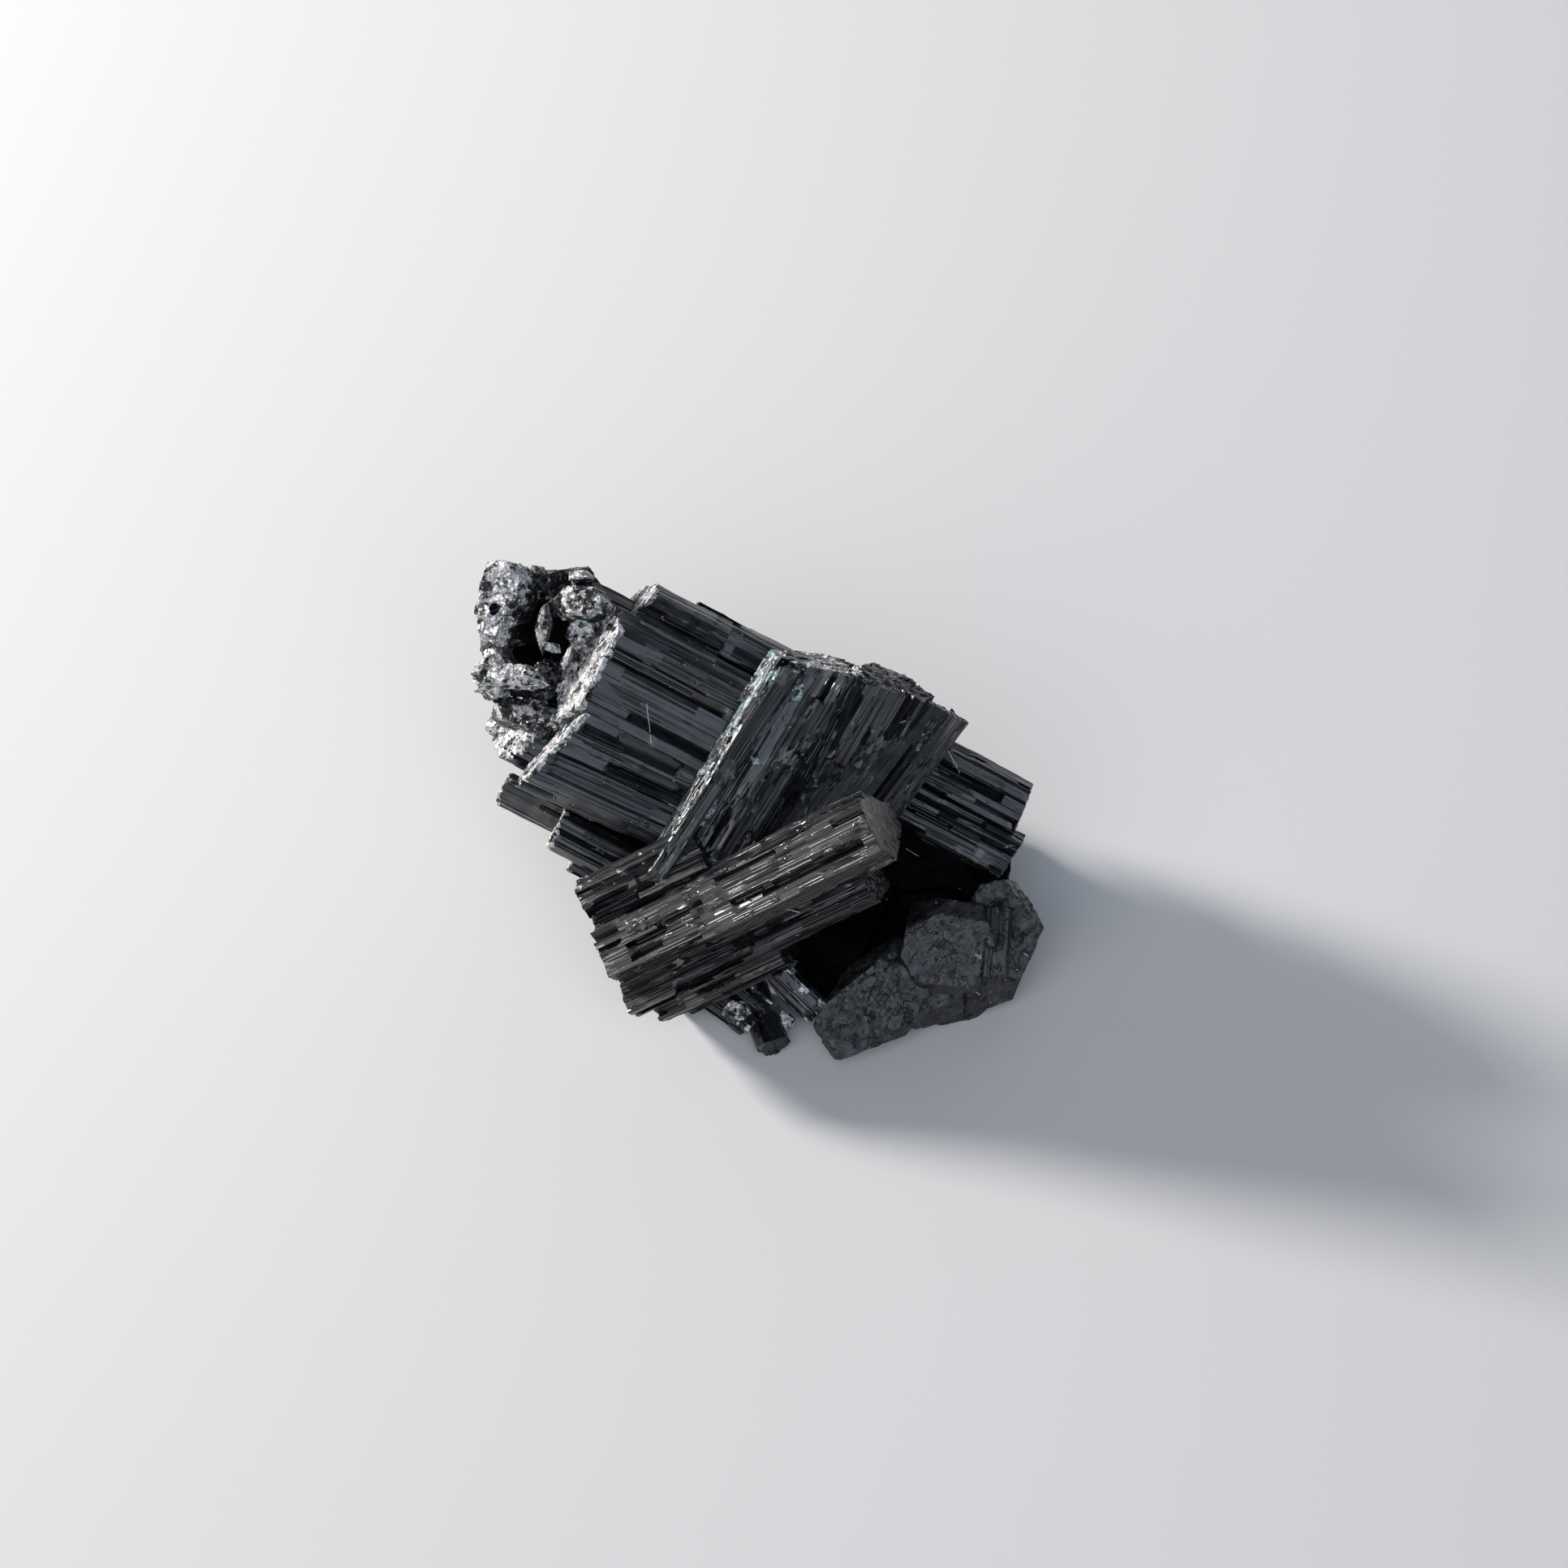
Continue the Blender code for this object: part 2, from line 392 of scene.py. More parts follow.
def numbered_length(w: Wiring, along: Signal, length: Value, own: Signal, spread: float) -> Signal:
    """The number of the length that a place is on, in a row of lengths.

    Args:
        w: The tree's wiring.
        along: How far along the row the place is.
        length: The lengths' mean.
        own: A random number that is the row's own.
        spread: How far that number shifts the row, in lengths.

    Returns:
        A whole number.
    """
    return w.maths("FLOOR", along / ((own + 0.5) * length) + own * spread)


class Mould:
    """A geometry tree with named inputs, which shapes one plain mesh at a time."""

    def __init__(self, name: str, inputs: dict) -> None:
        """Builds the tree.

        Args:
            name: The tree's name.
            inputs: For each type of socket, the names of the inputs of that type.
        """
        self.tree = bpy.data.node_groups.new(name, "GeometryNodeTree")
        face = self.tree.interface
        titles, self.sockets = {}, {}
        for kind, names in {**inputs, "Material": ("finish",)}.items():
            for key in names:
                titles[key] = key.replace("_", " ").title()
                made = face.new_socket(titles[key], in_out="INPUT", socket_type="NodeSocket" + kind)
                self.sockets[key] = made.identifier
        face.new_socket("Geometry", in_out="OUTPUT", socket_type="NodeSocketGeometry")
        self.wiring = w = Wiring(self.tree)
        outputs = w.add("NodeGroupInput").outputs
        self.given = SimpleNamespace(**{key: Signal(w, outputs[title]) for key, title in titles.items()})
        whole = w.out("GeometryNodeRealizeInstances", {"Geometry": self._grow()})
        whole = w.out("GeometryNodeSetMaterial", {"Geometry": whole, "Material": self.given.finish})
        w.add("NodeGroupOutput", {"Geometry": whole})

    def _grow(self) -> Signal:
        """Lays the nodes that make the mesh from what is given."""
        raise NotImplementedError

    def shape(self, name: str, start: bpy.types.Mesh, **values) -> bpy.types.Mesh:
        """Runs the tree once.

        Args:
            name: A name for the shape.
            start: The mesh that goes in.
            **values: A value for each input.

        Returns:
            The plain mesh that comes out.
        """
        made = new_object(name, start)
        growth = made.modifiers.new("growth", "NODES")
        growth.node_group = self.tree
        for key, value in values.items():
            growth[self.sockets[key]] = value
        return settle(made)


@dataclass(frozen=True)
class Crystal:
    """One prism: its axis from foot to tip, its section, and how each end is broken.

    Sizes are in millimetres and the roll in degrees. A slant is how far an end runs along the axis for
    each millimetre across and each out of the face. Coarse is how many times larger its facets are
    meshed, for a crystal that is mostly buried.
    """

    name: str
    foot: tuple
    tip: tuple
    width: float
    depth: float
    roll: float = 30.0
    foot_slant: tuple = (0.0, 0.0)
    tip_slant: tuple = (0.0, 0.0)
    rough: float = 0.5
    splinter: float = 0.8
    strip: float = 0.85
    relief: float = 0.40
    run: float = 12.0
    plates: float = 0.6
    worn: float = 0.12
    trigonal: float = 0.10
    # The three crust values lay granular relief with painted glitter; the side one lies on the upper side,
    # which the key light lights.
    foot_crust: float = 0.0
    tip_crust: float = 0.0
    side_crust: float = 0.0
    coarse: float = 1.0

    def corners(self) -> list:
        """The corners of the ditrigonal section, fitted to the width and the depth."""
        step = 2 * math.pi / SECTION_SIDES
        found = []
        for k in range(SECTION_SIDES):
            first = math.radians(self.roll) + k * step
            second = first + step
            near = 1 + self.trigonal * (-1) ** k
            far = 1 - self.trigonal * (-1) ** k
            x = (near * math.sin(second) - far * math.sin(first)) / math.sin(step)
            y = (far * math.cos(first) - near * math.cos(second)) / math.sin(step)
            found.append((x, y))
        wide = max(abs(x) for x, _ in found)
        deep = max(abs(y) for _, y in found)
        return [(x * self.width / 2 / wide, y * self.depth / 2 / deep, 0.0) for x, y in found]

    def placing(self) -> Matrix:
        """The matrix that carries the crystal's own frame into the display face's frame."""
        axis = (Vector(self.tip) - Vector(self.foot)).normalized()
        outward = (Vector((0, 0, 1)) - axis * axis.z).normalized()
        across = outward.cross(axis)
        turn = Matrix((across, outward, axis)).transposed().to_4x4()
        return Matrix.Translation(self.foot) @ turn


class StriatedPrism(Mould):
    """The geometry tree that grows a striated prism with splintered ends from its section's outline.

    The sides are made of flat strips, each with a column of points just inside either edge, so that the
    steps between them stay crisp. Along the axis a strip is made of lengths that end bluntly.
    """

    COLUMNS = 4
    WALL = 0.04
    ROW_MM = 0.42
    CAP_ROWS = 14
    WELD_MM = 0.002
    CLEAN_BELOW = 0.1
    ARC_SHIFT = 61.0
    NOISE_SHIFT = (37.1, 19.7, 53.3)
    ENDS_APART = 90.0
    EDGE_SWAY = 0.85
    CHUNKS, CHUNK_SHARE = 1.0, 0.7
    NEEDLES, NEEDLE_SHARE = 2.9, 0.3
    SOFT_END = (0.6, 3.0)
    SWELL, SWELL_TOP, SWELL_DEPTH = (0.22, 2.0), 0.72, 3.0
    CRUST_FADE = (0.15, 0.9, 1.0, 0.0)
    EDGE_DRAW, TERRACE_DRAW, LENGTH_DRAW, HAIR_DRAW = 1.0, 2.0, 3.0, 4.0
    TERRACE_LUCK, GROOVE_LUCK, SHALLOW_LUCK, SCRATCH_LUCK = 0.3, 0.6, 0.7, 0.9
    LENGTHS_SPREAD = 17.0
    HAIRS_APART = 7.0
    FALL_IN = 3.0
    TERRACE_STRIPS, TERRACE_RUN, TERRACE = 3.0, 2.0, 0.8
    SHALLOW = 0.22
    GROOVED_ABOVE, MIRRORED_ABOVE, GROOVE_SLOPE = 0.74, 0.87, 2.0
    SCRATCHED_ABOVE, SCRATCH_RUN, SCRATCH = 0.88, 0.6, 0.16
    NUMBERS = (
        "coarse", "strip", "relief", "run", "plates", "worn", "rough", "splinter", "foot_crust", "tip_crust",
        "side_crust",
    )

    def __init__(self) -> None:
        """Builds the tree."""
        super().__init__("striated_prism", {
            "Geometry": ("geometry",),
            "Float": ("length", "seed", *self.NUMBERS),
            "Vector": ("foot_slant", "tip_slant"),
        })

    def _grow(self) -> Signal:
        """Lays the nodes that roll a grid of strips and rows into the prism.

        Returns:
            The mesh, before its material.
        """
        w, given = self.wiring, self.given
        outline = w.out("GeometryNodeMeshToCurve", {"Mesh": given.geometry})
        around = w.out("GeometryNodeCurveLength", {"Curve": outline})
        strips = w.maths("ROUND", around / (given.coarse * given.strip))
        columns = strips * self.COLUMNS
        rows = w.maths("CEIL", given.length / (given.coarse * self.ROW_MM))
        caps = w.maths("CEIL", self.CAP_ROWS / given.coarse)
        all_rows = rows + caps + caps
        sizes = {"Size X": 1.0, "Size Y": 1.0, "Vertices X": columns + 1.0, "Vertices Y": all_rows + 1.0}
        grid = w.out("GeometryNodeMeshGrid", sizes)
        x, y, _ = w.parts(w.out("GeometryNodeInputPosition"))
        column = w.maths("ROUND", (x + 0.5) * columns)
        row = w.maths("ROUND", (y + 0.5) * all_rows)
        strip = w.maths("FLOOR", (column + 0.5) / self.COLUMNS)
        part = column - strip * self.COLUMNS
        inside = part / (self.COLUMNS - 1)
        step = around / strips
        start = self._edge(strip, strips, step)
        wide = self._edge(strip + 1.0, strips, step) - start
        arc = start + wide * (inside * (1 - 2 * self.WALL) + self.WALL)
        turn = w.maths("FRACT", arc / around + 1.0)
        rim = w.out("GeometryNodeSampleCurve", {"Curves": outline, "Factor": turn}, "Position", mode="FACTOR")
        along = w.maths("DIVIDE", row - caps, rows, clamp=True)
        shrink = w.maths("MINIMUM", 1.0, w.maths("MINIMUM", row / caps, (all_rows - row) / caps))
        flat = rim * shrink
        shift = w.join(*self.NOISE_SHIFT) * given.seed
        low = self._end(flat, shift, 0.0) + w.dot(flat, given.foot_slant)
        high = given.length - self._end(flat, shift, self.ENDS_APART) + w.dot(flat, given.tip_slant)
        z = low + (high - low) * along
        relief = self._relief(w.maths("MODULO", strip, strips), part, inside, wide, z)
        swell = w.noise(rim + w.join(z=z) + shift, *self.SWELL) - self.SWELL_TOP
        sway = swell * (given.worn * self.SWELL_DEPTH)
        relief = (relief + sway) * w.maths("POWER", shrink, self.FALL_IN)
        settled = flat * (relief / w.size(rim) + 1.0) + w.join(z=z)
        spare = (1.0 - shrink) * w.size(rim)
        run = z + spare * w.maths("SIGN", along - 0.5)
        clean = w.maths("LESS_THAN", given.rough, self.CLEAN_BELOW) + 1.0
        unrolled = w.join(arc + given.seed * self.ARC_SHIFT, run)
        made = w.store(grid, Feature.ALONG, unrolled, "FLOAT2", "CORNER")
        made = w.store(made, Feature.BROKEN, w.maths("LESS_THAN", shrink, 0.999) * clean)
        made = w.store(made, Feature.CRUST, self._crust(z, low, high, w.way(rim)))
        made = move_points(w, made, settled + shift, shift)
        return w.out("GeometryNodeMergeByDistance", {"Geometry": made, "Distance": self.WELD_MM})

    def _edge(self, strip: Signal, strips: Signal, step: Signal) -> Signal:
        """Where a strip starts, in millimetres round the section."""
        own = self.wiring.chance(self.wiring.maths("MODULO", strip, strips), self.given.seed, self.EDGE_DRAW)
        return (strip + (own - 0.5) * self.EDGE_SWAY) * step

    def _end(self, flat: Signal, shift: Signal, apart: float) -> Signal:
        """How far a broken end falls short at each point of the section.

        Args:
            flat: Where the point is in the section.
            shift: The crystal's own place in the noise.
            apart: A further shift, so that the two ends differ.

        Returns:
            The distance along the axis, in millimetres.
        """
        w, given = self.wiring, self.given
        scaled = (flat + shift + (0.0, 0.0, apart)) / w.join(*[given.splinter] * 3)
        tall = w.parts(w.voronoi(scaled, self.CHUNKS))[0] * self.CHUNK_SHARE
        short = w.parts(w.voronoi(scaled, self.NEEDLES))[1] * self.NEEDLE_SHARE
        return w.choose(given.plates, w.noise(scaled, *self.SOFT_END), tall + short) * given.rough

    def _crust(self, z: Signal, low: Signal, high: Signal, way: Signal) -> Signal:
        """How granular the surface is, with painted glitter on its grains: on the broken ends, just behind
        them and on the upper side, which faces the key light.

        Args:
            z: How far along the axis the point is.
            low: Where the foot's break is.
            high: Where the tip's break is.
            way: The way from the axis to the point.

        Returns:
            The crust, from 0 up.
        """
        w, given = self.wiring, self.given
        foot = w.ramp(z - low, *self.CRUST_FADE) * given.foot_crust
        tip = w.ramp(high - z, *self.CRUST_FADE) * given.tip_crust
        # The upper side faces the key light: its crust is painted glitter of the lit side.
        side = w.ramp(w.parts(way)[0], *UPPER_SIDE) * given.side_crust
        return w.maths("MAXIMUM", w.maths("MAXIMUM", foot, side), tip)

    def _lengths(self, strip: Signal, z: Signal, length: Signal, draw: float) -> Signal:
        """Which of a strip's blunt-ended lengths a point is on."""
        own = self.wiring.chance(strip, self.given.seed, draw)
        return numbered_length(self.wiring, z, length, own, self.LENGTHS_SPREAD)

    def _relief(self, strip: Signal, part: Signal, inside: Signal, wide: Signal, z: Signal) -> Signal:
        """How far the sides stand out, in millimetres: never above zero.

        Args:
            strip: The number of the strip.
            part: The number of the column in the strip.
            inside: Where the column is across the strip, from 0 to 1.
            wide: The strip's width.
            z: How far along the axis the point is.

        Returns:
            The relief, below zero where it is cut in.
        """
        w, seed, run = self.wiring, self.given.seed, self.given.run
        group = w.maths("FLOOR", (strip + 0.5) / self.TERRACE_STRIPS)
        block = self._lengths(group, z, run * self.TERRACE_RUN, self.TERRACE_DRAW)
        terrace = w.maths("POWER", w.chance(group, block, seed + self.TERRACE_LUCK), 2.0)
        length = self._lengths(strip, z, run, self.LENGTH_DRAW)
        luck = w.chance(strip, length, seed + self.GROOVE_LUCK)
        shallow = w.chance(strip, length, seed + self.SHALLOW_LUCK) * self.SHALLOW
        slope = w.choose(w.maths("GREATER_THAN", luck, self.MIRRORED_ABOVE), inside, 1.0 - inside)
        cut = w.maths("GREATER_THAN", luck, self.GROOVED_ABOVE) * slope * (wide * self.GROOVE_SLOPE)
        inner = strip * self.HAIRS_APART + part
        hair = self._lengths(inner, z, run * self.SCRATCH_RUN, self.HAIR_DRAW)
        luck = w.chance(inner, hair, seed + self.SCRATCH_LUCK)
        scratch = w.maths("GREATER_THAN", luck, self.SCRATCHED_ABOVE)
        depth = terrace * self.TERRACE + shallow + cut + scratch * self.SCRATCH
        return depth * (self.given.relief * -1.0)

    def grow(self, crystal: Crystal, seed: int, finish: bpy.types.Material) -> bpy.types.Mesh:
        """Makes one crystal's mesh, in its own frame.

        Args:
            crystal: The crystal.
            seed: Its place in the noise.
            finish: Its material.

        Returns:
            The plain mesh, in millimetres.
        """
        ring = bmesh.new()
        made = bmesh.ops.create_circle(ring, segments=SECTION_SIDES, radius=1)["verts"]
        for vertex, corner in zip(made, crystal.corners()):
            vertex.co = corner
        return self.shape(
            crystal.name,
            mesh_from(ring, crystal.name),
            length=(Vector(crystal.tip) - Vector(crystal.foot)).length,
            seed=float(seed),
            foot_slant=(*crystal.foot_slant, 0.0),
            tip_slant=(*crystal.tip_slant, 0.0),
            finish=finish,
            **{name: getattr(crystal, name) for name in self.NUMBERS},
        )


def without_crumbs(mesh: bpy.types.Mesh) -> bpy.types.Mesh:
    """Takes out the small closed shells that a union leaves behind.

    Args:
        mesh: The joined mesh.

    Returns:
        The same mesh, with its large shells only.
    """
    shape = bmesh.new()
    shape.from_mesh(mesh)
    waiting = set(shape.verts)
    crumbs = []
    while waiting:
        shell = [waiting.pop()]
        for vertex in shell:
            near = {edge.other_vert(vertex) for edge in vertex.link_edges} & waiting
            waiting -= near
            shell.extend(near)
        if len(shell) < LEAST_SHELL:
            crumbs.extend(shell)
    bmesh.ops.delete(shape, geom=crumbs, context="VERTS")
    shape.to_mesh(mesh)
    shape.free()
    return mesh


def mark_cut(mesh: bpy.types.Mesh, finish: bpy.types.Material) -> bpy.types.Mesh:
    """Marks a cutter's surface as bare black fracture, so that the cuts it leaves carry no crust and no
    painted glitter.

    Args:
        mesh: The cutter's mesh, in the part's frame.
        finish: The material of what it cuts.

    Returns:
        The same mesh.
    """
    mesh.materials.append(finish)
    points = [tuple(vertex.co / MM) for vertex in mesh.vertices]
    place = mesh.attributes.new(Feature.GRAIN.value, "FLOAT_VECTOR", "POINT")
    place.data.foreach_set("vector", [length for point in points for length in point])
    for feature, value in ((Feature.BROKEN, 1.0), (Feature.CRUST, -2.0)):
        mesh.attributes.new(feature.value, "FLOAT", "POINT").data.foreach_set("value", [value] * len(points))
    return mesh


def join_grown(name: str, meshes: list, finish: bpy.types.Material, pits: tuple = ()) -> bpy.types.Mesh:
    """Joins closed meshes that overlap into one closed mesh, trimmed flat where it rests.

    Args:
        name: The piece's name.
        meshes: The closed meshes, in the part's frame.
        finish: Their material.
        pits: The centre and radius of each pit, in the display face's frame.

    Returns:
        The joined mesh.
    """
    helpers = bpy.data.collections.new(name + "_members")
    bpy.context.scene.collection.children.link(helpers)
    whole = new_object(name, meshes[0])
    for mesh in meshes[1:]:
        helpers.objects.link(bpy.data.objects.new(mesh.name, mesh))
    union = whole.modifiers.new("grown_together", "BOOLEAN")
    union.operation = "UNION"
    union.operand_type = "COLLECTION"
    union.collection = helpers
    union.solver = "MANIFOLD"
    block = bmesh.new()
    bmesh.ops.create_cube(block, size=2 * FLOOR_TRIM_MM * MM)
    bmesh.ops.translate(block, verts=block.verts, vec=(0, 0, -FLOOR_TRIM_MM * MM))
    cutters = [new_object(name + "_floor", mark_cut(mesh_from(block, name + "_floor"), finish))]
    for centre, radius in pits:
        ball = bmesh.new()
        bmesh.ops.create_icosphere(ball, subdivisions=3, radius=radius, matrix=Matrix.Translation(centre))
        bmesh.ops.transform(ball, matrix=face_to_world(), verts=ball.verts)
        cutters.append(new_object(name + "_pit", mark_cut(mesh_from(ball, name + "_pit"), finish)))
    for cutter in cutters:
        trim = whole.modifiers.new(cutter.name, "BOOLEAN")
        trim.operation = "DIFFERENCE"
        trim.object = cutter
        trim.solver = "MANIFOLD"
    joined = without_crumbs(settle(whole))
    for helper in [*helpers.objects, *cutters]:
        bpy.data.objects.remove(helper)
    bpy.data.collections.remove(helpers)
    return joined


@dataclass(frozen=True)
class Block:
    """A broken block with flat fracture faces.

    Sizes are in millimetres and the turns in degrees about u, v and w. Crust is how much of its outer side
    is granular and carries painted glitter, worn is how far its faces swell, and front is where its front
    face lies, as a share of its half depth. Grit is how far its grains stand out, and detail how finely it is
    meshed.
    """

    name: str
    centre: tuple
    half_size: tuple
    turn: tuple = (0.0, 0.0, 0.0)
    crust: float = 0.0
    worn: float = 0.35
    grit: float = 0.12
    detail: int = 6
    front: float = 0.66

    def placing(self) -> Matrix:
        """The matrix that carries the block's own frame into the display face's frame."""
        turned = Euler([math.radians(angle) for angle in self.turn]).to_matrix().to_4x4()
        return Matrix.Translation(self.centre) @ turned


class FracturedBlock(Mould):
    """The geometry tree that splits a ball along flat planes into an angular block."""

    PLANES = 15
    GOLDEN_ANGLE = 2.399963
    NOISE_SHIFT = (31.3, 17.9, 43.7)
    FRONT_SWING, SWING = 0.2, 0.7
    NEAREST, SPREAD = 0.80, 0.22
    UNCUT = 2.0
    LEAST_FACING = 0.05
    SWELL, SWELL_TOP, SWELL_DEPTH = (0.35, 3.0), 0.6, 3.0
    PLATE_MM, PLATE_TILT, PLATE_STEP, PLATE_SHARE = 1.7, 0.25, 0.5, 0.5
    GRAIN_MM, GRAIN_TILT, GRAIN_STEP = 0.5, 0.5, 0.6
    CRUST_SHARE = (0.3, 1.0)
    NUMBERS = ("crust", "worn", "grit", "front")

    def __init__(self) -> None:
        """Builds the tree."""
        super().__init__("fractured_block", {
            "Float": ("seed", *self.NUMBERS),
            "Vector": ("half_size",),
            "Int": ("detail",),
        })

    def _planes(self) -> list:
        """The directions of the fracture planes, spread evenly, with the front one first."""
        found = [(0.0, 0.0, 1.0)]
        for k in range(1, self.PLANES):
            z = 1 - (2 * k + 1) / self.PLANES
            ring = math.sqrt(1 - z * z)
            found.append((ring * math.cos(k * self.GOLDEN_ANGLE), ring * math.sin(k * self.GOLDEN_ANGLE), z))
        return found

    def _grow(self) -> Signal:
        """Lays the nodes that cut a ball down to the nearest of its planes and wear its faces.

        Returns:
            The mesh, before its material.
        """
        w, given = self.wiring, self.given
        ball = w.out("GeometryNodeMeshIcoSphere", {"Radius": 1.0, "Subdivisions": given.detail})
        way = w.way(w.out("GeometryNodeInputPosition"))
        seed = given.seed
        reach = self.UNCUT
        for number, plane in enumerate(self._planes()):
            swing = self.SWING if number else self.FRONT_SWING
            lean = [(w.chance(number, seed, axis) - 0.5) * swing for axis in (1, 2, 3)]
            far = w.chance(number, seed, 4.0) * self.SPREAD + self.NEAREST if number else given.front
            facing = w.maths("MAXIMUM", w.dot(way, w.way(w.join(*lean) + plane)), self.LEAST_FACING)
            reach = w.maths("MINIMUM", reach, far / facing)
        shift = w.join(*self.NOISE_SHIFT) * seed
        sized = way * reach * given.half_size
        place = sized + shift
        swell = (w.noise(place, *self.SWELL) - self.SWELL_TOP) * self.SWELL_DEPTH
        plates = w.steps(place, (self.PLATE_MM,) * 3, (self.PLATE_TILT,) * 3, self.PLATE_STEP)
        grains = w.steps(place, (self.GRAIN_MM,) * 3, (self.GRAIN_TILT,) * 3, self.GRAIN_STEP)
        push = (swell + plates * self.PLATE_SHARE) * given.worn + grains * given.grit
        # The outer side's crust: granular relief with painted glitter.
        outer = w.ramp(w.parts(way)[2], *UPPER_SIDE, *self.CRUST_SHARE)
        made = w.store(ball, Feature.ALONG, w.join(), "FLOAT2", "CORNER")
        made = w.store(made, Feature.BROKEN, 1.0)
        made = w.store(made, Feature.CRUST, outer * given.crust)
        return move_points(w, made, place + w.way(sized) * push, shift)

    def split(self, block: Block, seed: int, finish: bpy.types.Material) -> bpy.types.Mesh:
        """Makes one block's mesh, in its own frame, in millimetres.

        Args:
            block: The block.
            seed: Its place in the noise.
            finish: Its material.

        Returns:
            The plain mesh.
        """
        sizes = {name: getattr(block, name) for name in (*self.NUMBERS, "half_size", "detail")}
        empty = bpy.data.meshes.new(block.name)
        return self.shape(block.name, empty, seed=float(seed), finish=finish, **sizes)


@dataclass
class Bundle:
    """Crystals and broken blocks that grew side by side, made as one closed piece."""

    name: str
    crystals: tuple = ()
    blocks: tuple = ()
    pits: tuple = ()

    def build(
        self, prism: StriatedPrism, fractured: FracturedBlock, seed: int, finish: bpy.types.Material
    ) -> bpy.types.Mesh:
        """Grows the crystals and the blocks and joins them.

        Args:
            prism: The tree that grows one crystal.
            fractured: The tree that splits off one block.
            seed: The bundle's place in the noise.
            finish: The material of all of them.

        Returns:
            The piece's mesh.
        """
        meshes = []
        for members, make in ((self.crystals, prism.grow), (self.blocks, fractured.split)):
            for place, member in enumerate(members):
                mesh = make(member, seed + place, finish)
                mesh.transform(face_to_world() @ member.placing())
                meshes.append(mesh)
        return join_grown(self.name, meshes, finish, self.pits)


@dataclass(frozen=True)
class SchorlFinish:
    """Jet-black schorl: glassy strips along the prisms, granular broken ends and a pale crust, whose
    whiteness is painted glitter: light glinting off fine facets, painted into the colour.

    Lengths are in millimetres. Slopes say how far the facets of a strip or a grain lean. Each pattern's
    width and length stand with its detail, and each ramp's two limits with what they become.
    """

    CROWDING, CROWD_REACH = 2.3, 4.0
    STREAKS, STREAK_RAMP = (2.6, 9.0), (0.45, 0.65, 0.1, 1.0)
    PITS, PIT_EDGE = (1.9, 3.2), 0.05
    FLAKE, FLAKE_TILT = (0.7, 0.7, 2.0), (1.0, 1.0, 0.3)
    RIDGES_SPREAD, RIDGE_LUCK = 23.0, 0.16
    CRACK_BEND, CRACK_RAMP = (0.9, 3.0, 2.6), (0.0, 0.05, -1.0, 0.0)
    CRACKED, CRACKED_RAMP = (2.4, 2.4, 2.0), (0.48, 0.6)
    GOUGE_SLANT, GOUGE_STRETCH = 0.8, (0.45, 1.7, 1.2)
    GOUGE_DETAIL, GOUGE_ROUGHNESS, GOUGE_RAMP = 4.0, 0.62, (0.60, 0.645)
    CRUST_PATCH, CRUST_REACH, CRUST_RAMP = (1.9, 1.9, 4.0), 2.2, (0.5, 0.62)
    CRUST_BEND, LONG_GRAINS = (3.0, 1.0, 0.45), (0.0, 1.0, 0.4, 1.0)
    DARK_GRAINS, SEAM_RAMP = (0.0, 0.25), (0.0, 0.07)
    GLOOM, GLOOM_RAMP = (1.4, 1.4, 3.0), (0.40, 0.46, 0.03, 1.0)
    GRIT_MM, GRIT_TILT = 0.4, 1.4
    SATIN, SATIN_RAMP = (0.7, 3.0), (0.35, 0.7)
    FILM, FILM_RAMP = (1.2, 2.4, 6.0), (0.5, 0.75)
    # Hues and saturations of the painted glints: aqua on the sides, a few tinted ones on the broken ends.
    SIDE_HUES, SIDE_VIVID, END_VIVID = (0.0, 1.0, 0.47, 0.55), (0.2, 0.9, 0.0), (0.90, 0.98, 0.0, 0.35)

    name: str
    base: tuple = (0.0075, 0.0085, 0.0105)
    film: tuple = (0.030, 0.032, 0.035)
    # How light the painted glitter on the crust's grains is, and how coloured its painted glints on the sides
    # are.
    pale: float = 0.92
    tint: float = 0.08
    index: float = 1.70
    pleat: float = 0.42
    pleat_length: float = 11.0
    pleat_slope: float = 0.30
    groove: float = 0.14
    hair: float = 0.16
    hair_length: float = 5.0
    hair_slope: float = 0.22
    crumb: float = 0.42
    crumb_slope: float = 0.5
    speckle: float = 0.66
    grain: float = 0.44
    crack: float = 2.2
    crack_depth: float = 0.0
    gouge: float = 0.0
    smooth: float = 0.17
    matt: float = 0.42

    def material(self) -> bpy.types.Material:
        """Builds the material."""
        made, w, inputs = new_material(self.name)
        w.feed(inputs["IOR"], self.index)
        place = self._carried(w, Feature.GRAIN, "Vector")
        broken = self._carried(w, Feature.BROKEN)
        end = w.maths("MINIMUM", broken, 1.0)
        gouged = self._gouges(w, place)
        crumbs = w.steps(place, (self.crumb,) * 3, (self.crumb_slope,) * 3)
        height = w.choose(end, self._side(w, place), crumbs * w.maths("SUBTRACT", 2.0, broken, clamp=True))
        height = height + self._cracks(w, place) + gouged * -self.gouge
        lies, white, hue, vivid = self._crust(w, place, self._carried(w, Feature.CRUST), end)
        height = w.choose(lies, height, w.steps(place, (self.GRIT_MM,) * 3, (self.GRIT_TILT,) * 3))
        w.feed(inputs["Normal"], w.out("ShaderNodeBump", {"Strength": 1.0, "Distance": MM, "Height": height}))
        satin = w.ramp(w.grain_noise(place, *self.SATIN), *self.SATIN_RAMP, self.smooth, self.matt)
        w.feed(inputs["Roughness"], satin)
        dull = w.ramp(w.grain_noise(place, *self.FILM), *self.FILM_RAMP)
        # Gouges are also painted darker: painted shade in their hollows.
        if self.gouge:
            dull = dull * (1.0 - gouged)
        black = w.blend(dull, (*self.base, 1.0), (*self.film, 1.0))
